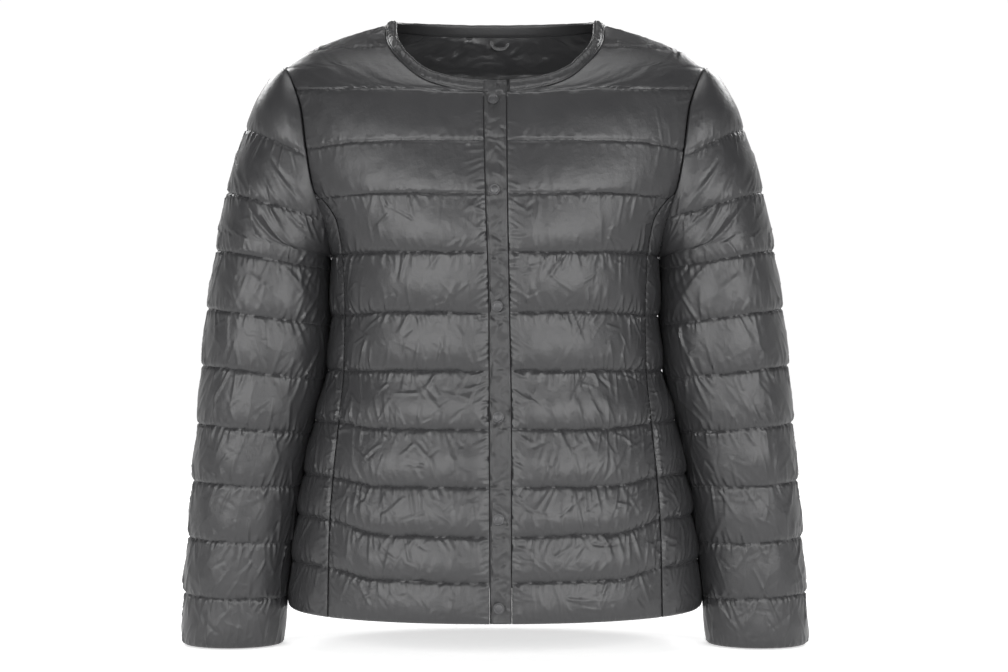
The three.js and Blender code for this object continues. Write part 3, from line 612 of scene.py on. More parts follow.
def nylon(name, colour, roughness, crease):
    """Satin nylon: a fine plain weave, small creases and a sheen that varies a little."""
    material = bpy.data.materials.new(name)
    material.use_nodes = True
    nodes, links = material.node_tree.nodes, material.node_tree.links
    shader = nodes["Principled BSDF"]
    shader.inputs["Base Color"].default_value = (*colour, 1)
    shader.inputs["Specular IOR Level"].default_value = 0.5
    place = nodes.new("ShaderNodeTexCoord")
    cloudy = add_node(nodes, "TexNoise", Scale=38, Detail=4)
    shine = add_node(nodes, "MapRange", To_Min=roughness - 0.05, To_Max=roughness + 0.07)
    tint = nodes.new("ShaderNodeMix")
    tint.data_type = "RGBA"
    tint.inputs["A"].default_value = (*[c * 0.9 for c in colour], 1)
    tint.inputs["B"].default_value = (*[c * 1.12 for c in colour], 1)
    crinkle = add_node(nodes, "TexNoise", Scale=260, Detail=5, Roughness=0.6)
    weave = add_node(nodes, "TexWave", Scale=900, Distortion=1.2)
    small = add_node(nodes, "Bump", Strength=crease, Distance=0.0006)
    threads = add_node(nodes, "Bump", Strength=0.08, Distance=0.0001)
    for texture in (cloudy, crinkle, weave):
        links.new(place.outputs["Object"], texture.inputs["Vector"])
    links.new(cloudy.outputs["Fac"], shine.inputs["Value"])
    links.new(shine.outputs["Result"], shader.inputs["Roughness"])
    links.new(cloudy.outputs["Fac"], tint.inputs["Factor"])
    links.new(tint.outputs["Result"], shader.inputs["Base Color"])
    links.new(crinkle.outputs["Fac"], small.inputs["Height"])
    links.new(weave.outputs["Fac"], threads.inputs["Height"])
    links.new(small.outputs["Normal"], threads.inputs["Normal"])
    links.new(threads.outputs["Normal"], shader.inputs["Normal"])
    return material


CHARCOAL = (0.024, 0.024, 0.0252)
shell_nylon = nylon("charcoal_satin_nylon", CHARCOAL, 0.37, 0.42)
quilt_seams = []


def dress(piece, material, slot, *nodes):
    piece.data.materials.append(material)
    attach(piece, "root")
    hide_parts(*nodes)


LAST_FRONT_LINE = len(front_quilting["inner"]) - 1
FRONT_COLUMNS = 4 * round(150 / CLOTH_STEP / 4) + 1
for side, name in ((-1, "front_right_panel"), (1, "front_left_panel")):
    rows = quilt_lines(front_quilting, "middle", 0, LAST_FRONT_LINE, CLOTH_STEP)
    outer, lining = shape_quilting(
        name, front_surface(side), front_quilting, rows, FRONT_COLUMNS, row_times=3,
        grooves=(0.4, 1.6), pocket_edge=-1,
        seed=100 + 50 * side,
    )
    quilt_seams += take_seam_rows(outer, rows)
    piece = quilted_piece("quilted_" + name, outer, lining[::2, ::2])
    dress(piece, shell_nylon, "shell_cloth", name)


# Side panels
# One on each side under the arm, from the princess seam to the side seam, in the same quilted nylon.
# The rows of stitches run on from the fronts and rise a little towards the side seam.
SIDE_TOP_LINE = 3.9
SIDE_COLUMNS = 4 * round(92 / CLOTH_STEP / 4) + 1


def side_surface(side):
    def surface(u, line):
        z = at_line(front_quilting, "side", line)
        half_width, _ = body_oval(z, "front")
        start = angle_at(along(princess_seam, "z", "x", z) + SEAM_GAP / 2, half_width)
        end = angle_at(body_end_x(z), half_width)
        return body_point(z, "front", (start + (end - start) * u) * side)

    return surface


for side, name in ((-1, "side_right_panel"), (1, "side_left_panel")):
    rows = quilt_lines(front_quilting, "side", SIDE_TOP_LINE, LAST_FRONT_LINE, CLOTH_STEP)
    outer, lining = shape_quilting(
        name, side_surface(side), front_quilting, rows, SIDE_COLUMNS, row_times=3,
        grooves=(0.2, 1.0), pocket_edge=0,
        seed=300 + 50 * side,
    )
    quilt_seams += take_seam_rows(outer, rows)
    piece = quilted_piece("quilted_" + name, outer, lining[::2, ::2])
    dress(piece, shell_nylon, "shell_cloth", name)


# Back panel
# One piece from the shoulder seams and the back of the neck down to the hem, quilted like the fronts.
# Its lining shows inside the neck, with the same lines of stitches and loose creases.
back_quilting = table(
    "middle side crown slack pucker crumple",
    (-5, -5, 3.5, 0.1, 0.4, 0.3), (-40, -38, 5.6, 0.2, 0.5, 0), (-88, -84, 6.6, 0.2, 0.4, 0),
    (-137, -132, 7.4, 0.3, 0.5, 0), (-186, -183, 8, 0.5, 0.8, 0.2), (-235, -235, 8.2, 0.6, 1, 0.35),
    (-292, -294, 8.2, 0.65, 1, 0.5), (-347, -348, 8.2, 0.65, 1, 0.65), (-402, -398, 8.2, 0.7, 0.95, 0.9),
    (-456, -450, 8, 0.75, 0.85, 1), (-502, -490, 7.6, 0.75, 0.8, 1), (-544, -535, 7, 0.6, 0.7, 1),
    (-582, -582, 0, 0.5, 0.5, 1),
)
INSIDE_FOLDS = (
    ((466, 39), (489, 52), 3.0, 2.4), ((489, 52), (498, 41), 2.5, 2.0), ((458, 52), (470, 40), 2.5, 1.8),
    ((440, 40), (476, 46), 3.0, 1.6), ((404, 34), (446, 40), 3.0, 1.8), ((410, 44), (440, 36), 3.5, 1.8),
    ((452, 60), (476, 43), 4.0, 2.0), ((484, 58), (502, 57), 2.5, 1.8), ((484, 64), (502, 65), 2.0, 1.6),
    ((470, 74), (522, 72), 2.0, 1.4), ((512, 56), (530, 40), 3.0, 1.8), ((532, 52), (546, 40), 3.0, 2.0),
    ((536, 44), (572, 36), 3.0, 1.8), ((548, 40), (586, 48), 3.0, -1.8), ((556, 36), (588, 40), 2.5, 1.6),
    ((500, 50), (528, 66), 3.5, 1.5), ((420, 56), (452, 66), 4.0, 1.2), ((540, 62), (570, 52), 4.0, 1.3),
)
BACK_COLUMNS = 2 * round(470 / CLOTH_STEP / 2) + 1


def back_surface(u, line):
    middle, outer = at_line(back_quilting, "middle", line), at_line(back_quilting, "side", line)
    z = middle + (outer - middle) * ease(np.abs(2 * u - 1), 0.5, 1)
    half_width, _ = body_oval(z, "back")
    return body_point(z, "back", (2 * u - 1) * angle_at(body_end_x(z), half_width))


rows = quilt_lines(back_quilting, "middle", 0, len(back_quilting["middle"]) - 1, CLOTH_STEP)
outer, lining = shape_quilting(
    "back_panel", back_surface, back_quilting, rows, BACK_COLUMNS, times=2, inside_folds=INSIDE_FOLDS,
    seed=500,
)
quilt_seams += take_seam_rows(outer, rows)
back_panel = quilted_piece("quilted_back_panel", outer, lining)
dress(back_panel, shell_nylon, "shell_cloth", "back_panel")


# Sleeves
# Two tubes of the same quilted nylon, set in at the armholes, closed under the arm by one seam and open at
# the cuff. Long drag folds run from the outer shoulder down to the armpit.
UNDERARM_LINE = 2.71
FIRST_SLEEVE_LINE = 0.06
SLEEVE_CROWN = 6
sleeve_sections = table(
    "line outer_x outer_z inner_x inner_z half_depth middle_y",
    (0, 209, -47.8, 208, -48, 0, 5), (0.06, 209.6, -48.2, 204.5, -54, 22, 5), (0.2, 219, -55, 198, -67, 36, 5),
    (0.5, 231, -74, 188, -94, 49, 5), (0.8, 240.5, -94, 184, -121, 55, 5), (1, 246, -108, 181, -138, 56, 5),
    (1.5, 256, -140, 175, -171, 57.5, 5), (2, 264.5, -171, 165, -203, 58, 5),
    (3, 276.5, -229, 171, -248, 58, 3), (4, 285.5, -287, 173, -303, 57, 0),
    (5, 290.5, -343, 177, -356, 53, -4), (6, 294, -400, 191, -409, 49, -9),
    (7, 298.5, -457, 202, -462, 45, -13), (8, 302, -512, 208.5, -517, 42, -16),
    (9, 305.5, -567, 212.5, -571, 40, -18), (10, 306, -617, 213.5, -617, 38, -20),
)
sleeve_quilting = table(
    "crown slack pucker crumple length",
    (SLEEVE_CROWN, 0.1, 0.5, 0, 0), (SLEEVE_CROWN, 0.3, 0.8, 0.1, -57), (SLEEVE_CROWN, 0.5, 1, 0.25, -114),
    (SLEEVE_CROWN, 0.65, 1, 0.4, -171), (SLEEVE_CROWN, 0.7, 1, 0.5, -228), (SLEEVE_CROWN, 0.7, 1, 0.7, -285),
    (SLEEVE_CROWN, 0.75, 1, 0.9, -342), (SLEEVE_CROWN, 0.75, 1, 1, -399), (SLEEVE_CROWN, 0.75, 1, 1, -456),
    (SLEEVE_CROWN, 0.75, 1, 1, -513), (0, 0.6, 0.8, 1, -570),
)
DRAG_FOLDS = (
    ((243, 152), (262, 208), 4.0, 1.8), ((258, 168), (290, 236), 5.0, -1.6), ((250, 205), (300, 262), 5.0, 2.6),
    ((262, 214), (303, 268), 4.0, -2.2), ((268, 200), (304, 256), 4.5, 2.0), ((278, 172), (313, 222), 4.5, 1.8),
    ((272, 160), (309, 205), 3.5, -1.2), ((287, 214), (322, 246), 4.0, 1.5), ((284, 268), (318, 318), 5.0, 1.8),
    ((296, 262), (322, 300), 4.0, -1.5), ((252, 275), (290, 308), 5.0, 1.1), ((238, 178), (248, 224), 3.0, 1.0),
)
sleeve_lean = table(
    "line x",
    (0, 1.6), (1.8, 1.6), (2.71, -3), (3.3, -5.9), (4, -6.6), (5, -6.2), (5.5, -5.2), (6, -6.6), (7, -7.6),
    (8, -6.8), (9, -5), (10, -1.5),
)
SLEEVE_COLUMNS = 4 * round(350 / CLOTH_STEP / 4) + 1


def sleeve_section(line):
    row = {name: along(sleeve_sections, "line", name, line) for name in sleeve_sections if name != "line"}
    is_open = line < UNDERARM_LINE
    seam_x = along(armhole_seam, "z", "x", row["inner_z"])
    shape_x = seam_x + (row["inner_x"] - seam_x) * ease(line, 1.6, UNDERARM_LINE)
    row["shape_x"] = np.where(is_open, shape_x, row["inner_x"])
    row["inner_x"] = np.where(is_open, seam_x, row["inner_x"])
    gap = np.where(is_open, armhole_depth(row["inner_z"]), 0)
    row["half_depth"] = np.where(line < 1, gap, np.maximum(row["half_depth"], gap))
    opening = np.arcsin(np.minimum(gap / np.maximum(row["half_depth"], 1), 1))
    row["end"] = np.where(line < 1, np.pi / 2, np.pi - opening)
    return row


def sleeve_surface(side):
    def surface(u, line):
        row = sleeve_section(line)
        angle = (2 * u - 1) * row["end"]
        closing = row["end"] + (np.pi - row["end"]) * ease(line, 1.4, UNDERARM_LINE)
        radius = (row["outer_x"] - row["shape_x"]) / (1 - np.cos(closing))
        x = row["outer_x"] - radius + radius * np.cos(angle)
        share = (x - row["shape_x"]) / (row["outer_x"] - row["shape_x"])
        z = row["inner_z"] + (row["outer_z"] - row["inner_z"]) * share
        y = row["middle_y"] + row["half_depth"] * np.sin(angle)
        lean = along(sleeve_lean, "line", "x", line)
        at_seam = row["outer_x"] - radius + radius * np.cos(row["end"]) + lean
        to_seam = np.where(line < UNDERARM_LINE, row["inner_x"] + 1.6 - at_seam, 0)
        x = x + lean * ((1 - u) ** 3 + u ** 3) + to_seam * ((1 - u) ** 8 + u ** 8)
        return np.stack([side * x, y, z], axis=-1)

    return surface


def sleeve_middle(side):
    def middle(line):
        row = sleeve_section(line)
        share = np.where(line < UNDERARM_LINE, 0.2, 0.5)
        x = row["inner_x"] + (row["outer_x"] - row["inner_x"]) * share
        return np.stack([side * x, row["middle_y"], row["inner_z"] - np.where(line < 1, 20, 0)], axis=-1)

    return middle


def mirrored(place, side):
    return place if side < 0 else (2 * AXIS_COLUMN - place[0], place[1])


def sleeve_quiet(u, line):
    return 0.55 * ease(np.abs(2 * u - 1) * sleeve_section(line)["end"], 1.7, 2.6)


for side, name in ((-1, "sleeve_right"), (1, "sleeve_left")):
    upper = quilt_lines(sleeve_quilting, "length", FIRST_SLEEVE_LINE, UNDERARM_LINE, CLOTH_STEP)
    lower = quilt_lines(sleeve_quilting, "length", UNDERARM_LINE, 10, CLOTH_STEP)
    rows = np.concatenate([upper[:-1], lower])
    slit = len(upper) - 1
    outer, lining = shape_quilting(
        name, sleeve_surface(side), sleeve_quilting, rows, SLEEVE_COLUMNS, sleeve_middle(side), sleeve_quiet,
        slit, folds=[(mirrored(start, side), mirrored(end, side), *sizes) for start, end, *sizes in DRAG_FOLDS],
        grooves=(1.5, 1.5), seed=700 + 50 * side,
    )
    quilt_seams += take_seam_rows(outer, rows)
    piece = quilted_piece("quilted_" + name, outer, lining[::2, ::2], slit)
    dress(piece, shell_nylon, "shell_cloth", name)


# Neck binding
# A folded strip of the nylon over the raw neck edge, stitched near both its edges, with small creases
# across it where it is eased round the curve.
trim_nylon = nylon("charcoal_trim_nylon", [0.85 * c for c in CHARCOAL], 0.45, 0.45)


def even_path(points, *others, step):
    """Points along a path at even steps, with other values read at the same places."""
    place = np.concatenate([[0], np.cumsum(np.linalg.norm(np.diff(points, axis=0), axis=1))])
    at = np.linspace(0, place[-1], int(round(place[-1] / step)) + 1)
    return [at] + [np.stack([np.interp(at, place, v[:, k]) for k in range(3)], -1) for v in (points, *others)]


def softened(values, reach):
    kernel = np.hanning(2 * reach + 3)[1:-1]
    padded = np.concatenate([values[:1].repeat(reach, 0), values, values[-1:].repeat(reach, 0)])
    return np.stack([np.convolve(padded[:, k], kernel / kernel.sum(), "valid") for k in range(3)], -1)


def edge_with_normals(surface, u, line, du, dline):
    here = surface(u, line)
    normal = np.cross(surface(u + du, line) - here, surface(u, line + dline) - here)
    normal = normal / np.linalg.norm(normal, axis=-1, keepdims=True)
    return here, normal * np.sign((normal * (here * (1, 1, 0) + (0, 0, 30))).sum(-1, keepdims=True))


lap_x = np.linspace(11.3, -11, 9)
lap = body_point(np.full(9, -82.0), "front", angle_at(lap_x, body_oval(np.full(9, -82.0), "front")[0]))
neck_lines = np.linspace(1.999, 0, 60)
back_u = np.linspace(0.004, 0.996, 90)
edges = [(lap, np.tile([0, -0.98, 0.2], (9, 1)))]
edges.append(edge_with_normals(front_surface(-1), 0 * neck_lines, neck_lines, 0.01, 0.01))
edges.append(edge_with_normals(back_surface, back_u, 0 * back_u, 0.002, 0.01))
edges.append(edge_with_normals(front_surface(1), 0 * neck_lines, neck_lines[::-1], 0.01, 0.01))
neck_at, neck_path, neck_out = even_path(*(np.concatenate(parts) for parts in zip(*edges)), step=1.5)
neck_path[6:-6] = softened(neck_path, 5)[6:-6]
neck_out = softened(neck_out, 12)
neck_out /= np.linalg.norm(neck_out, axis=1, keepdims=True)
neck_inward = -neck_path * (1, 1, 0)
neck_inward /= np.linalg.norm(neck_inward, axis=1, keepdims=True)
neck_lean = (0.3 + 0.6 * np.minimum(np.abs(neck_path[:, :1]) / 110, 1) ** 2)
neck_across = neck_inward * neck_lean + np.sqrt(1 - neck_lean**2) * (0, 0, 1)
section_a, section_h = np.transpose([
    (0.42, 0), (0.5, 1.8), (1.0, 2.6), (1.8, 2.9), (2.4, 2.35), (3.2, 3.0), (4.5, 3.5), (6, 3.6), (7.5, 3.6),
    (9, 3.5), (10, 3.2), (10.7, 2.6), (11.4, 3.0), (12.2, 2.7), (12.8, 2.0), (13, 1.2), (12.8, 0.4),
    (12.2, -0.1), (10, -0.3), (7, -0.35), (4, -0.35), (0.6, -0.2),
])
ripple_at, ripple_a = np.meshgrid(neck_at, section_a, indexing="ij")
binding_relief = np.zeros_like(ripple_at.T)
pick = np.random.default_rng(41)
place = 2.0
while place < neck_at[-1] - 2:
    start = (place, pick.uniform(1, 7))
    angle = pick.normal(1.57, 0.55)
    way = (math.cos(angle), abs(math.sin(angle)))
    length, widths = pick.uniform(6, 13), (pick.uniform(0.9, 1.4), pick.uniform(1.4, 2.6))
    rise = pick.uniform(0.7, 2.0) * pick.choice((-1, 1))
    add_fold(binding_relief, ripple_at.T, ripple_a.T, start, way, length, widths, rise)
    place += pick.uniform(2.5, 7)
binding_relief = binding_relief.T * np.interp(section_a, [0.5, 1.5, 11.5, 12.8, 13.1], [0, 1, 1, 0.5, 0])
binding_relief += 0.35 * smooth_noise(ripple_at / 9, ripple_a / 6, 43) * (section_h > 1)
binding_relief[:, 15:] = 0
binding_across = section_a + 0.35 * smooth_noise(ripple_at / 13, ripple_at * 0, 44) * (section_a > 9)
binding_points = (
    neck_path[:, None] + neck_across[:, None] * binding_across[..., None]
    + neck_out[:, None] * (section_h + binding_relief)[..., None]
)


def ring_piece(name, rings):
    """Closed piece from rings of points in millimetres, with flat ends."""
    count, around = rings.shape[:2]
    number = np.arange(count * around).reshape(count, around)
    number = np.concatenate([number, number[:, :1]], axis=1)
    faces = grid_faces(number)
    faces += [list(range(around)), list(range(count * around - 1, (count - 1) * around - 1, -1))]
    mesh = bpy.data.meshes.new(name)
    mesh.from_pydata((rings.reshape(-1, 3) * MM).tolist(), [], faces)
    mesh.validate()
    return smoothed_piece(name, mesh)


binding = ring_piece("folded_neck_binding", binding_points)
dress(binding, trim_nylon, "trim_cloth", "neck_binding")


# Front placket
# A narrow folded strip down the wearer's right front, sewn along its left edge in the picture and free
# at the other. It laps over the left front up to the neck edge and is crumpled between its snaps.
snap_heights = (-88.6, -176, -286, -390, -485, -567)
PLACKET_TOP = 12.9
PLACKET_NECK_Z = -82.4
PLACKET_STEP = 1.4
over_neck = PLACKET_NECK_Z + np.arange(PLACKET_TOP, 0, -PLACKET_STEP)
strip_rows = np.concatenate([over_neck, np.arange(PLACKET_NECK_Z, HEM_Z - 0.01, -PLACKET_STEP)])
strip_u, strip_z = np.meshgrid(np.linspace(0, 1, 19), strip_rows)
level_z = np.minimum(strip_z, PLACKET_NECK_Z)
seam_x = along(placket_edges, "z", "seam", level_z) - 0.3
free_x = along(placket_edges, "z", "free", level_z) + 0.2 + 0.12 * smooth_noise(strip_z / 9, strip_z * 0, 51)
strip_x = seam_x + (free_x - seam_x) * strip_u
strip_base = body_point(level_z, "front", angle_at(strip_x, body_oval(level_z, "front")[0]))
strip_normals = grid_normals(strip_base + (0, 0, 1) * (strip_z - level_z)[..., None])
strip_normals *= -np.sign(strip_normals[..., 1:2])
over_binding = np.maximum(strip_z - PLACKET_NECK_Z, 0)
strip_base = strip_base + over_binding[..., None] * np.array([0, 0.306, 0.952])
strip_across, strip_down = (strip_x - seam_x), (strip_rows[0] - strip_z)
strip_relief = np.zeros_like(strip_u)
pick = np.random.default_rng(52)
strip_levels = strip_rows[0] - front_quilting["inner"][2:-1]
for index in range(210):
    near_line = index % 3 == 0
    place = pick.uniform(0, 20)
    start = (place, pick.choice(strip_levels) + pick.normal(0, 3) if near_line else pick.uniform(2, 505))
    angle = pick.uniform(-0.5, 0.5) if near_line else pick.uniform(0.5, 1.4)
    way = (math.cos(angle), math.sin(angle)) if pick.random() < 0.5 else (-math.cos(angle), math.sin(angle))
    add_fold(
        strip_relief, strip_across, strip_down, start, way, pick.uniform(7, 20),
        (pick.uniform(0.9, 1.4), pick.uniform(1.8, 3.6)), pick.uniform(0.8, 2.4) * pick.choice((-1, 1)),
    )
strip_relief += 0.9 * smooth_noise(strip_across / 9, strip_down / 11, 53)
for snap_z in snap_heights:
    off = np.hypot((strip_x - (seam_x + free_x) / 2 + 1.8), strip_z - snap_z)
    strip_relief *= ease(off, 3.5, 9)
    strip_relief -= 0.5 * np.exp(-((off / 7.5) ** 2))
from_seam, from_free = strip_across, free_x - strip_x
strip_relief *= np.minimum(np.minimum(from_seam, from_free) / 2.0, 1)
strip_height = 3.3 + 0.9 * ease(strip_z, -88, -80) + strip_relief
strip_height -= 0.75 * np.exp(-(((from_seam - 2.2) / 0.7) ** 2))
strip_height -= 0.45 * np.exp(-(((from_free - 2.4) / 0.7) ** 2))
strip_height -= 1.6 * np.clip(1 - from_seam / 1.1, 0, 1) ** 2 + 1.6 * np.clip(1 - from_free / 1.5, 0, 1) ** 2
strip_height = np.maximum(strip_height, 1.0)
strip_outer = strip_base + strip_normals * strip_height[..., None]
strip_inner = strip_base + strip_normals * (0.35 + 3.4 * ease(strip_z, -84, -81))[..., None]
strip_inner = strip_inner[::2, ::2] if len(strip_rows) % 2 else strip_inner[:, ::2]
placket = quilted_piece("snap_placket", strip_outer, strip_inner)
dress(placket, trim_nylon, "trim_cloth", "front_placket")


# Under placket
# The plain strip of the left front that lies behind the placket and carries the lower halves of the snaps.
under_u, under_z = np.meshgrid(np.linspace(0, 1, 7), np.arange(NECK_FRONT_Z, HEM_Z - 0.01, -4))
under_seam = along(placket_edges, "z", "seam", under_z) - 0.2
under_free = along(placket_edges, "z", "free", under_z) + 0.2
under_x = under_seam + (under_free - under_seam) * under_u
under_base = body_point(under_z, "front", angle_at(under_x, body_oval(under_z, "front")[0]))
under_normals = grid_normals(under_base)
under_normals *= -np.sign(under_normals[..., 1:2])
under_wave = 0.3 * smooth_noise(under_x / 9, under_z / 13, 61) * (under_u > 0) * (under_u < 1)
under_outer = under_base - under_normals * (0.5 - np.minimum(under_wave, 0.2))[..., None]
under_inner = under_base - under_normals * 2.7
under = quilted_piece("under_placket_strip", under_outer, under_inner)
dress(under, trim_nylon, "trim_cloth", "under_placket")


# Snaps
# Six small round caps of dark grey painted metal, pressed through the placket: a low dome in a raised rim.
snap_paint = bpy.data.materials.new("dark_grey_snap_paint")
snap_paint.use_nodes = True
snap_nodes, snap_links = snap_paint.node_tree.nodes, snap_paint.node_tree.links
snap_shader = snap_nodes["Principled BSDF"]
snap_shader.inputs["Base Color"].default_value = (0.045, 0.045, 0.047, 1)
snap_shader.inputs["Metallic"].default_value = 0.25
snap_shader.inputs["Coat Weight"].default_value = 0.12
snap_shader.inputs["Coat Roughness"].default_value = 0.3
snap_place = snap_nodes.new("ShaderNodeTexCoord")
snap_grain = add_node(snap_nodes, "TexNoise", Scale=900)
snap_dull = add_node(snap_nodes, "MapRange", To_Min=0.3, To_Max=0.48)
snap_bump = add_node(snap_nodes, "Bump", Strength=0.12, Distance=0.0002)
snap_links.new(snap_place.outputs["Object"], snap_grain.inputs["Vector"])
snap_links.new(snap_grain.outputs["Fac"], snap_dull.inputs["Value"])
snap_links.new(snap_dull.outputs["Result"], snap_shader.inputs["Roughness"])
snap_links.new(snap_grain.outputs["Fac"], snap_bump.inputs["Height"])
snap_links.new(snap_bump.outputs["Normal"], snap_shader.inputs["Normal"])
SNAP_RADIUS = 5.3
for index, snap_z in enumerate(snap_heights, 1):
    low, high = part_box(f"snap_cap_{index}")
    below, above = (along(body_depths, "z", "front", snap_z + way) for way in (-1, 1))
    slope = float(below - above) / 2
    bpy.ops.mesh.primitive_cylinder_add(vertices=48, radius=SNAP_RADIUS * MM, depth=1.7 * MM)
    cap = bpy.context.object
    bpy.ops.object.mode_set(mode="EDIT")
    bpy.ops.mesh.select_all(action="DESELECT")
    bpy.ops.object.mode_set(mode="OBJECT")
    max(cap.data.polygons, key=lambda face: face.center.z).select = True
    bpy.ops.object.mode_set(mode="EDIT")
    bpy.ops.mesh.inset(thickness=1.15 * MM, depth=0)
    bpy.ops.mesh.inset(thickness=0.35 * MM, depth=-0.45 * MM)
    bpy.ops.mesh.inset(thickness=1.2 * MM, depth=0.35 * MM)
    bpy.ops.mesh.inset(thickness=1.3 * MM, depth=0.15 * MM)
    bpy.ops.object.mode_set(mode="OBJECT")
    round_edge = cap.modifiers.new("round", "BEVEL")
    round_edge.width = 0.3 * MM
    round_edge.segments = 3
    round_edge.limit_method = "ANGLE"
    round_edge.angle_limit = math.radians(35)
    bpy.ops.object.modifier_apply(modifier="round")
    cap.rotation_euler = (math.pi / 2 - math.atan(slope), 0, 0)
    cap.location = [(low[k] + high[k]) / 2 for k in range(3)]
    bpy.ops.object.transform_apply(location=True, rotation=True, scale=True)
    bpy.ops.object.shade_smooth_by_angle(angle=math.radians(40))
    cap.name = f"snap_cap_rim_{index}"
    cap.select_set(False)
    dress(cap, snap_paint, "snap_metal", f"snap_cap_{index}")


# Hanger loop
# A narrow folded tape in a loop, sewn in under the binding inside the back of the neck.
loop_low, loop_high = (np.array(corner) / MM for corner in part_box("hanger_loop"))
loop_turn = np.linspace(0, math.pi, 33)
loop_centre = (loop_low + loop_high) / 2
loop_half = (loop_high[0] - loop_low[0]) / 2 - 1.8
loop_drop = loop_high[2] - loop_low[2] - 1.8
loop_path = np.stack([
    loop_centre[0] + loop_half * np.sign(np.cos(loop_turn)) * np.abs(np.cos(loop_turn)) ** 0.8,
    loop_centre[1] + 0.5 * np.sin(3 * loop_turn),
    loop_high[2] - loop_drop * np.sin(loop_turn) ** 0.8,
], -1)
loop_out = np.stack([np.cos(loop_turn), 0 * loop_turn, -np.sin(loop_turn)], -1)
loop_ring = [(-1, 0), (-0.9, 0.5), (0, 0.62), (0.9, 0.5), (1, 0), (0.9, -0.5), (0, -0.62), (-0.9, -0.5)]
loop_points = np.stack([
    loop_path + loop_out * 1.8 * side + np.array([0, 1.1, 0]) * layer for side, layer in loop_ring
], 1)
loop = ring_piece("folded_hanger_loop", loop_points)
dress(loop, trim_nylon, "trim_cloth", "hanger_loop")


# Stitches
# Lockstitches of slightly paler thread, about 3 mm long, that hold the rows of quilting.
thread = nylon("grey_thread", (0.05, 0.05, 0.052), 0.5, 0.2)


def stitch_mesh(name, lines, pitch=4.0, length=2.7, width=0.27):
    corners, faces = [], []
    for path in lines:
        place = np.concatenate([[0], np.cumsum(np.linalg.norm(np.diff(path, axis=0), axis=1))])
        starts = np.arange(2.0, place[-1] - 4, pitch)
        ends = [
            np.stack([np.interp(starts + reach, place, path[:, k]) for k in range(3)], -1)
            for reach in (0, length / 2, length)
        ]
        along_way = ends[2] - ends[0]
        along_way /= np.linalg.norm(along_way, axis=1, keepdims=True)
        outward = ends[1] * (1, 1, 0) - (0, CENTRE_Y, 0)
        outward = outward - along_way * (outward * along_way).sum(1, keepdims=True)
        outward /= np.linalg.norm(outward, axis=1, keepdims=True)
        side = np.cross(along_way, outward)
        for a, m, b, o, w in zip(*ends, outward, side):
            first = len(corners)
            for point, lift in ((a, -0.1), (m, 0.38), (b, -0.1)):
                low = point + o * (lift - 0.2)
                corners += [low + w * width, low - w * width, point + o * (lift + 0.25)]
            for k in (0, 3):
                for c in range(3):
                    d = (c + 1) % 3
                    faces.append((first + k + c, first + k + d, first + k + 3 + d, first + k + 3 + c))
            faces += [(first + 2, first + 1, first), (first + 6, first + 7, first + 8)]
    mesh = bpy.data.meshes.new(name)
    mesh.from_pydata((np.array(corners) * MM).tolist(), [], faces)
    if sum(face_volume(mesh)) < 0:
        mesh.flip_normals()
    piece = put_in_scene(name, mesh)
    piece.data.materials.append(thread)
    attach(piece, "root")


stitch_mesh("quilting_stitches", quilt_seams)


# Studio
# Pale floor and backdrop, soft lights at both sides and above, and a level camera far off. The floor glows with
# painted light: white far off, dimmer near the jacket and dimmer still in front of it.
FLOOR_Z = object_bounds()[0][2] / MM - 1.5


def stage_plane(name, corners, colour):
    mesh = bpy.data.meshes.new(name)
    mesh.from_pydata([[c * MM for c in corner] for corner in corners], [], [(0, 1, 2, 3)])
    plane = put_in_scene(name, mesh)
    material = bpy.data.materials.new(name)
    material.use_nodes = True
    material.node_tree.nodes["Principled BSDF"].inputs["Base Color"].default_value = (*colour, 1)
    material.node_tree.nodes["Principled BSDF"].inputs["Roughness"].default_value = 0.9
    mesh.materials.append(material)
    return plane


floor_corners = [(-6000, -3000), (6000, -3000), (6000, 9000), (-6000, 9000)]
floor = stage_plane("glowing_pale_floor", [(x, y, FLOOR_Z) for x, y in floor_corners], (0.5, 0.5, 0.5))
floor_nodes, floor_links = floor.data.materials[0].node_tree.nodes, floor.data.materials[0].node_tree.links
floor_shader = floor_nodes["Principled BSDF"]
floor_shader.inputs["Emission Color"].default_value = (1, 1, 1, 1)
floor_place = floor_nodes.new("ShaderNodeTexCoord")
floor_split = floor_nodes.new("ShaderNodeSeparateXYZ")
floor_away = floor_nodes.new("ShaderNodeVectorMath")
floor_away.operation = "LENGTH"
floor_links.new(floor_place.outputs["Object"], floor_away.inputs[0])
floor_links.new(floor_place.outputs["Object"], floor_split.inputs["Vector"])


def smooth_range(nodes, links, source, low, high, at_low, at_high):
    ramp = add_node(nodes, "MapRange", From_Min=low, From_Max=high, To_Min=at_low, To_Max=at_high)
    ramp.interpolation_type = "SMOOTHSTEP"
    links.new(source, ramp.inputs["Value"])
    return ramp.outputs["Result"]


def multiplied(nodes, links, first, second):
    product = nodes.new("ShaderNodeMath")
    product.operation = "MULTIPLY"
    links.new(first, product.inputs[0])
    links.new(second, product.inputs[1])
    return product.outputs["Value"]
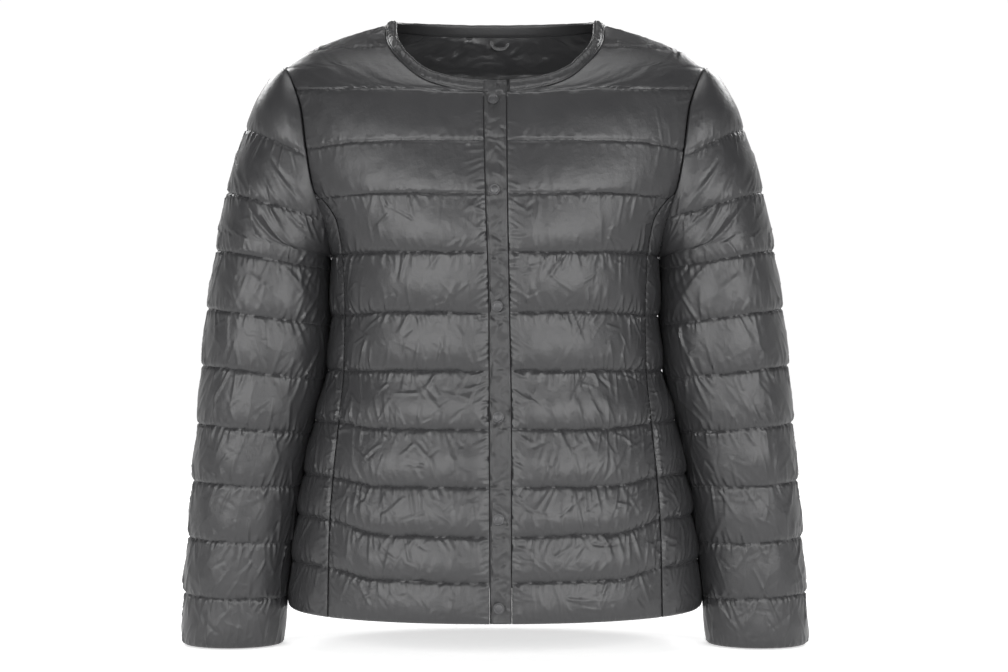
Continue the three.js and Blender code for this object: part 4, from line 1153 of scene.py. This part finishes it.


# Painted light: the floor glows by its own emission, white far off and dimmer near the jacket and in front of
# it.
floor_glow_by_distance = smooth_range(floor_nodes, floor_links, floor_away.outputs["Value"], 0.72, 1.15, 0.57, 0.96)
floor_glow_toward_back = smooth_range(floor_nodes, floor_links, floor_split.outputs["Y"], -0.9, -0.15, 0.5, 1)
floor_links.new(
    multiplied(floor_nodes, floor_links, floor_glow_by_distance, floor_glow_toward_back), floor_shader.inputs["Emission Strength"]
)
# The floor's colour is paler near the jacket, where lamp light and shadow show on it, and darker far off, where
# the painted glow alone makes it white.
floor_pale = smooth_range(floor_nodes, floor_links, floor_away.outputs["Value"], 0.72, 1.15, 0.92, 0.35)
floor_links.new(floor_pale, floor_shader.inputs["Base Color"])


def soft_light(name, place, aim, size, power):
    light = bpy.data.lights.new(name, "AREA")
    light.shape = "RECTANGLE"
    light.size, light.size_y = (s * MM for s in size)
    light.energy = power
    holder = put_in_scene(name, light)
    holder.location = [p * MM for p in place]
    direction = Vector(aim) - Vector(place)
    holder.rotation_euler = direction.to_track_quat("-Z", "Y").to_euler()


soft_light("left_softbox", (-1050, -1800, 90), (0, 0, -330), (1900, 720), 29)
soft_light("right_softbox", (1050, -1800, 90), (0, 0, -330), (1900, 720), 29)
soft_light("top_softbox", (0, -200, 1700), (0, 0, -300), (1500, 1200), 18)
soft_light("back_left_softbox", (-1500, 2100, 1300), (0, 0, -330), (1500, 800), 36)
soft_light("back_right_softbox", (1500, 2100, 1300), (0, 0, -330), (1500, 800), 36)
world = bpy.data.worlds.new("studio")
world.use_nodes = True
direction = world.node_tree.nodes.new("ShaderNodeTexCoord")
split = world.node_tree.nodes.new("ShaderNodeSeparateXYZ")
world.node_tree.links.new(direction.outputs["Generated"], split.inputs["Vector"])
sky = (world.node_tree.nodes, world.node_tree.links)
low_sky = smooth_range(*sky, split.outputs["Z"], 0.18, 0.36, 1.02, 0.1)
back_sky = smooth_range(*sky, split.outputs["Y"], -0.6, 0.3, 0.42, 1)
background = world.node_tree.nodes["Background"]
world.node_tree.links.new(multiplied(*sky, low_sky, back_sky), background.inputs["Strength"])
background.inputs["Color"].default_value = (1, 1, 1, 1)
bpy.context.scene.world = world
bpy.context.scene.view_settings.view_transform = "Standard"

camera = bpy.data.cameras.new("camera")
camera.sensor_width = 36
camera.lens = 36 * EYE_AWAY / PICTURE_WIDTH
camera.shift_x = (PICTURE_WIDTH / 2 - AXIS_COLUMN) / PICTURE_WIDTH
camera.clip_end = 50
holder = put_in_scene("camera", camera)
holder.location = (0, -EYE_AWAY * MM, EYE_Z * MM)
holder.rotation_euler = (math.pi / 2, 0, 0)
bpy.context.scene.camera = holder
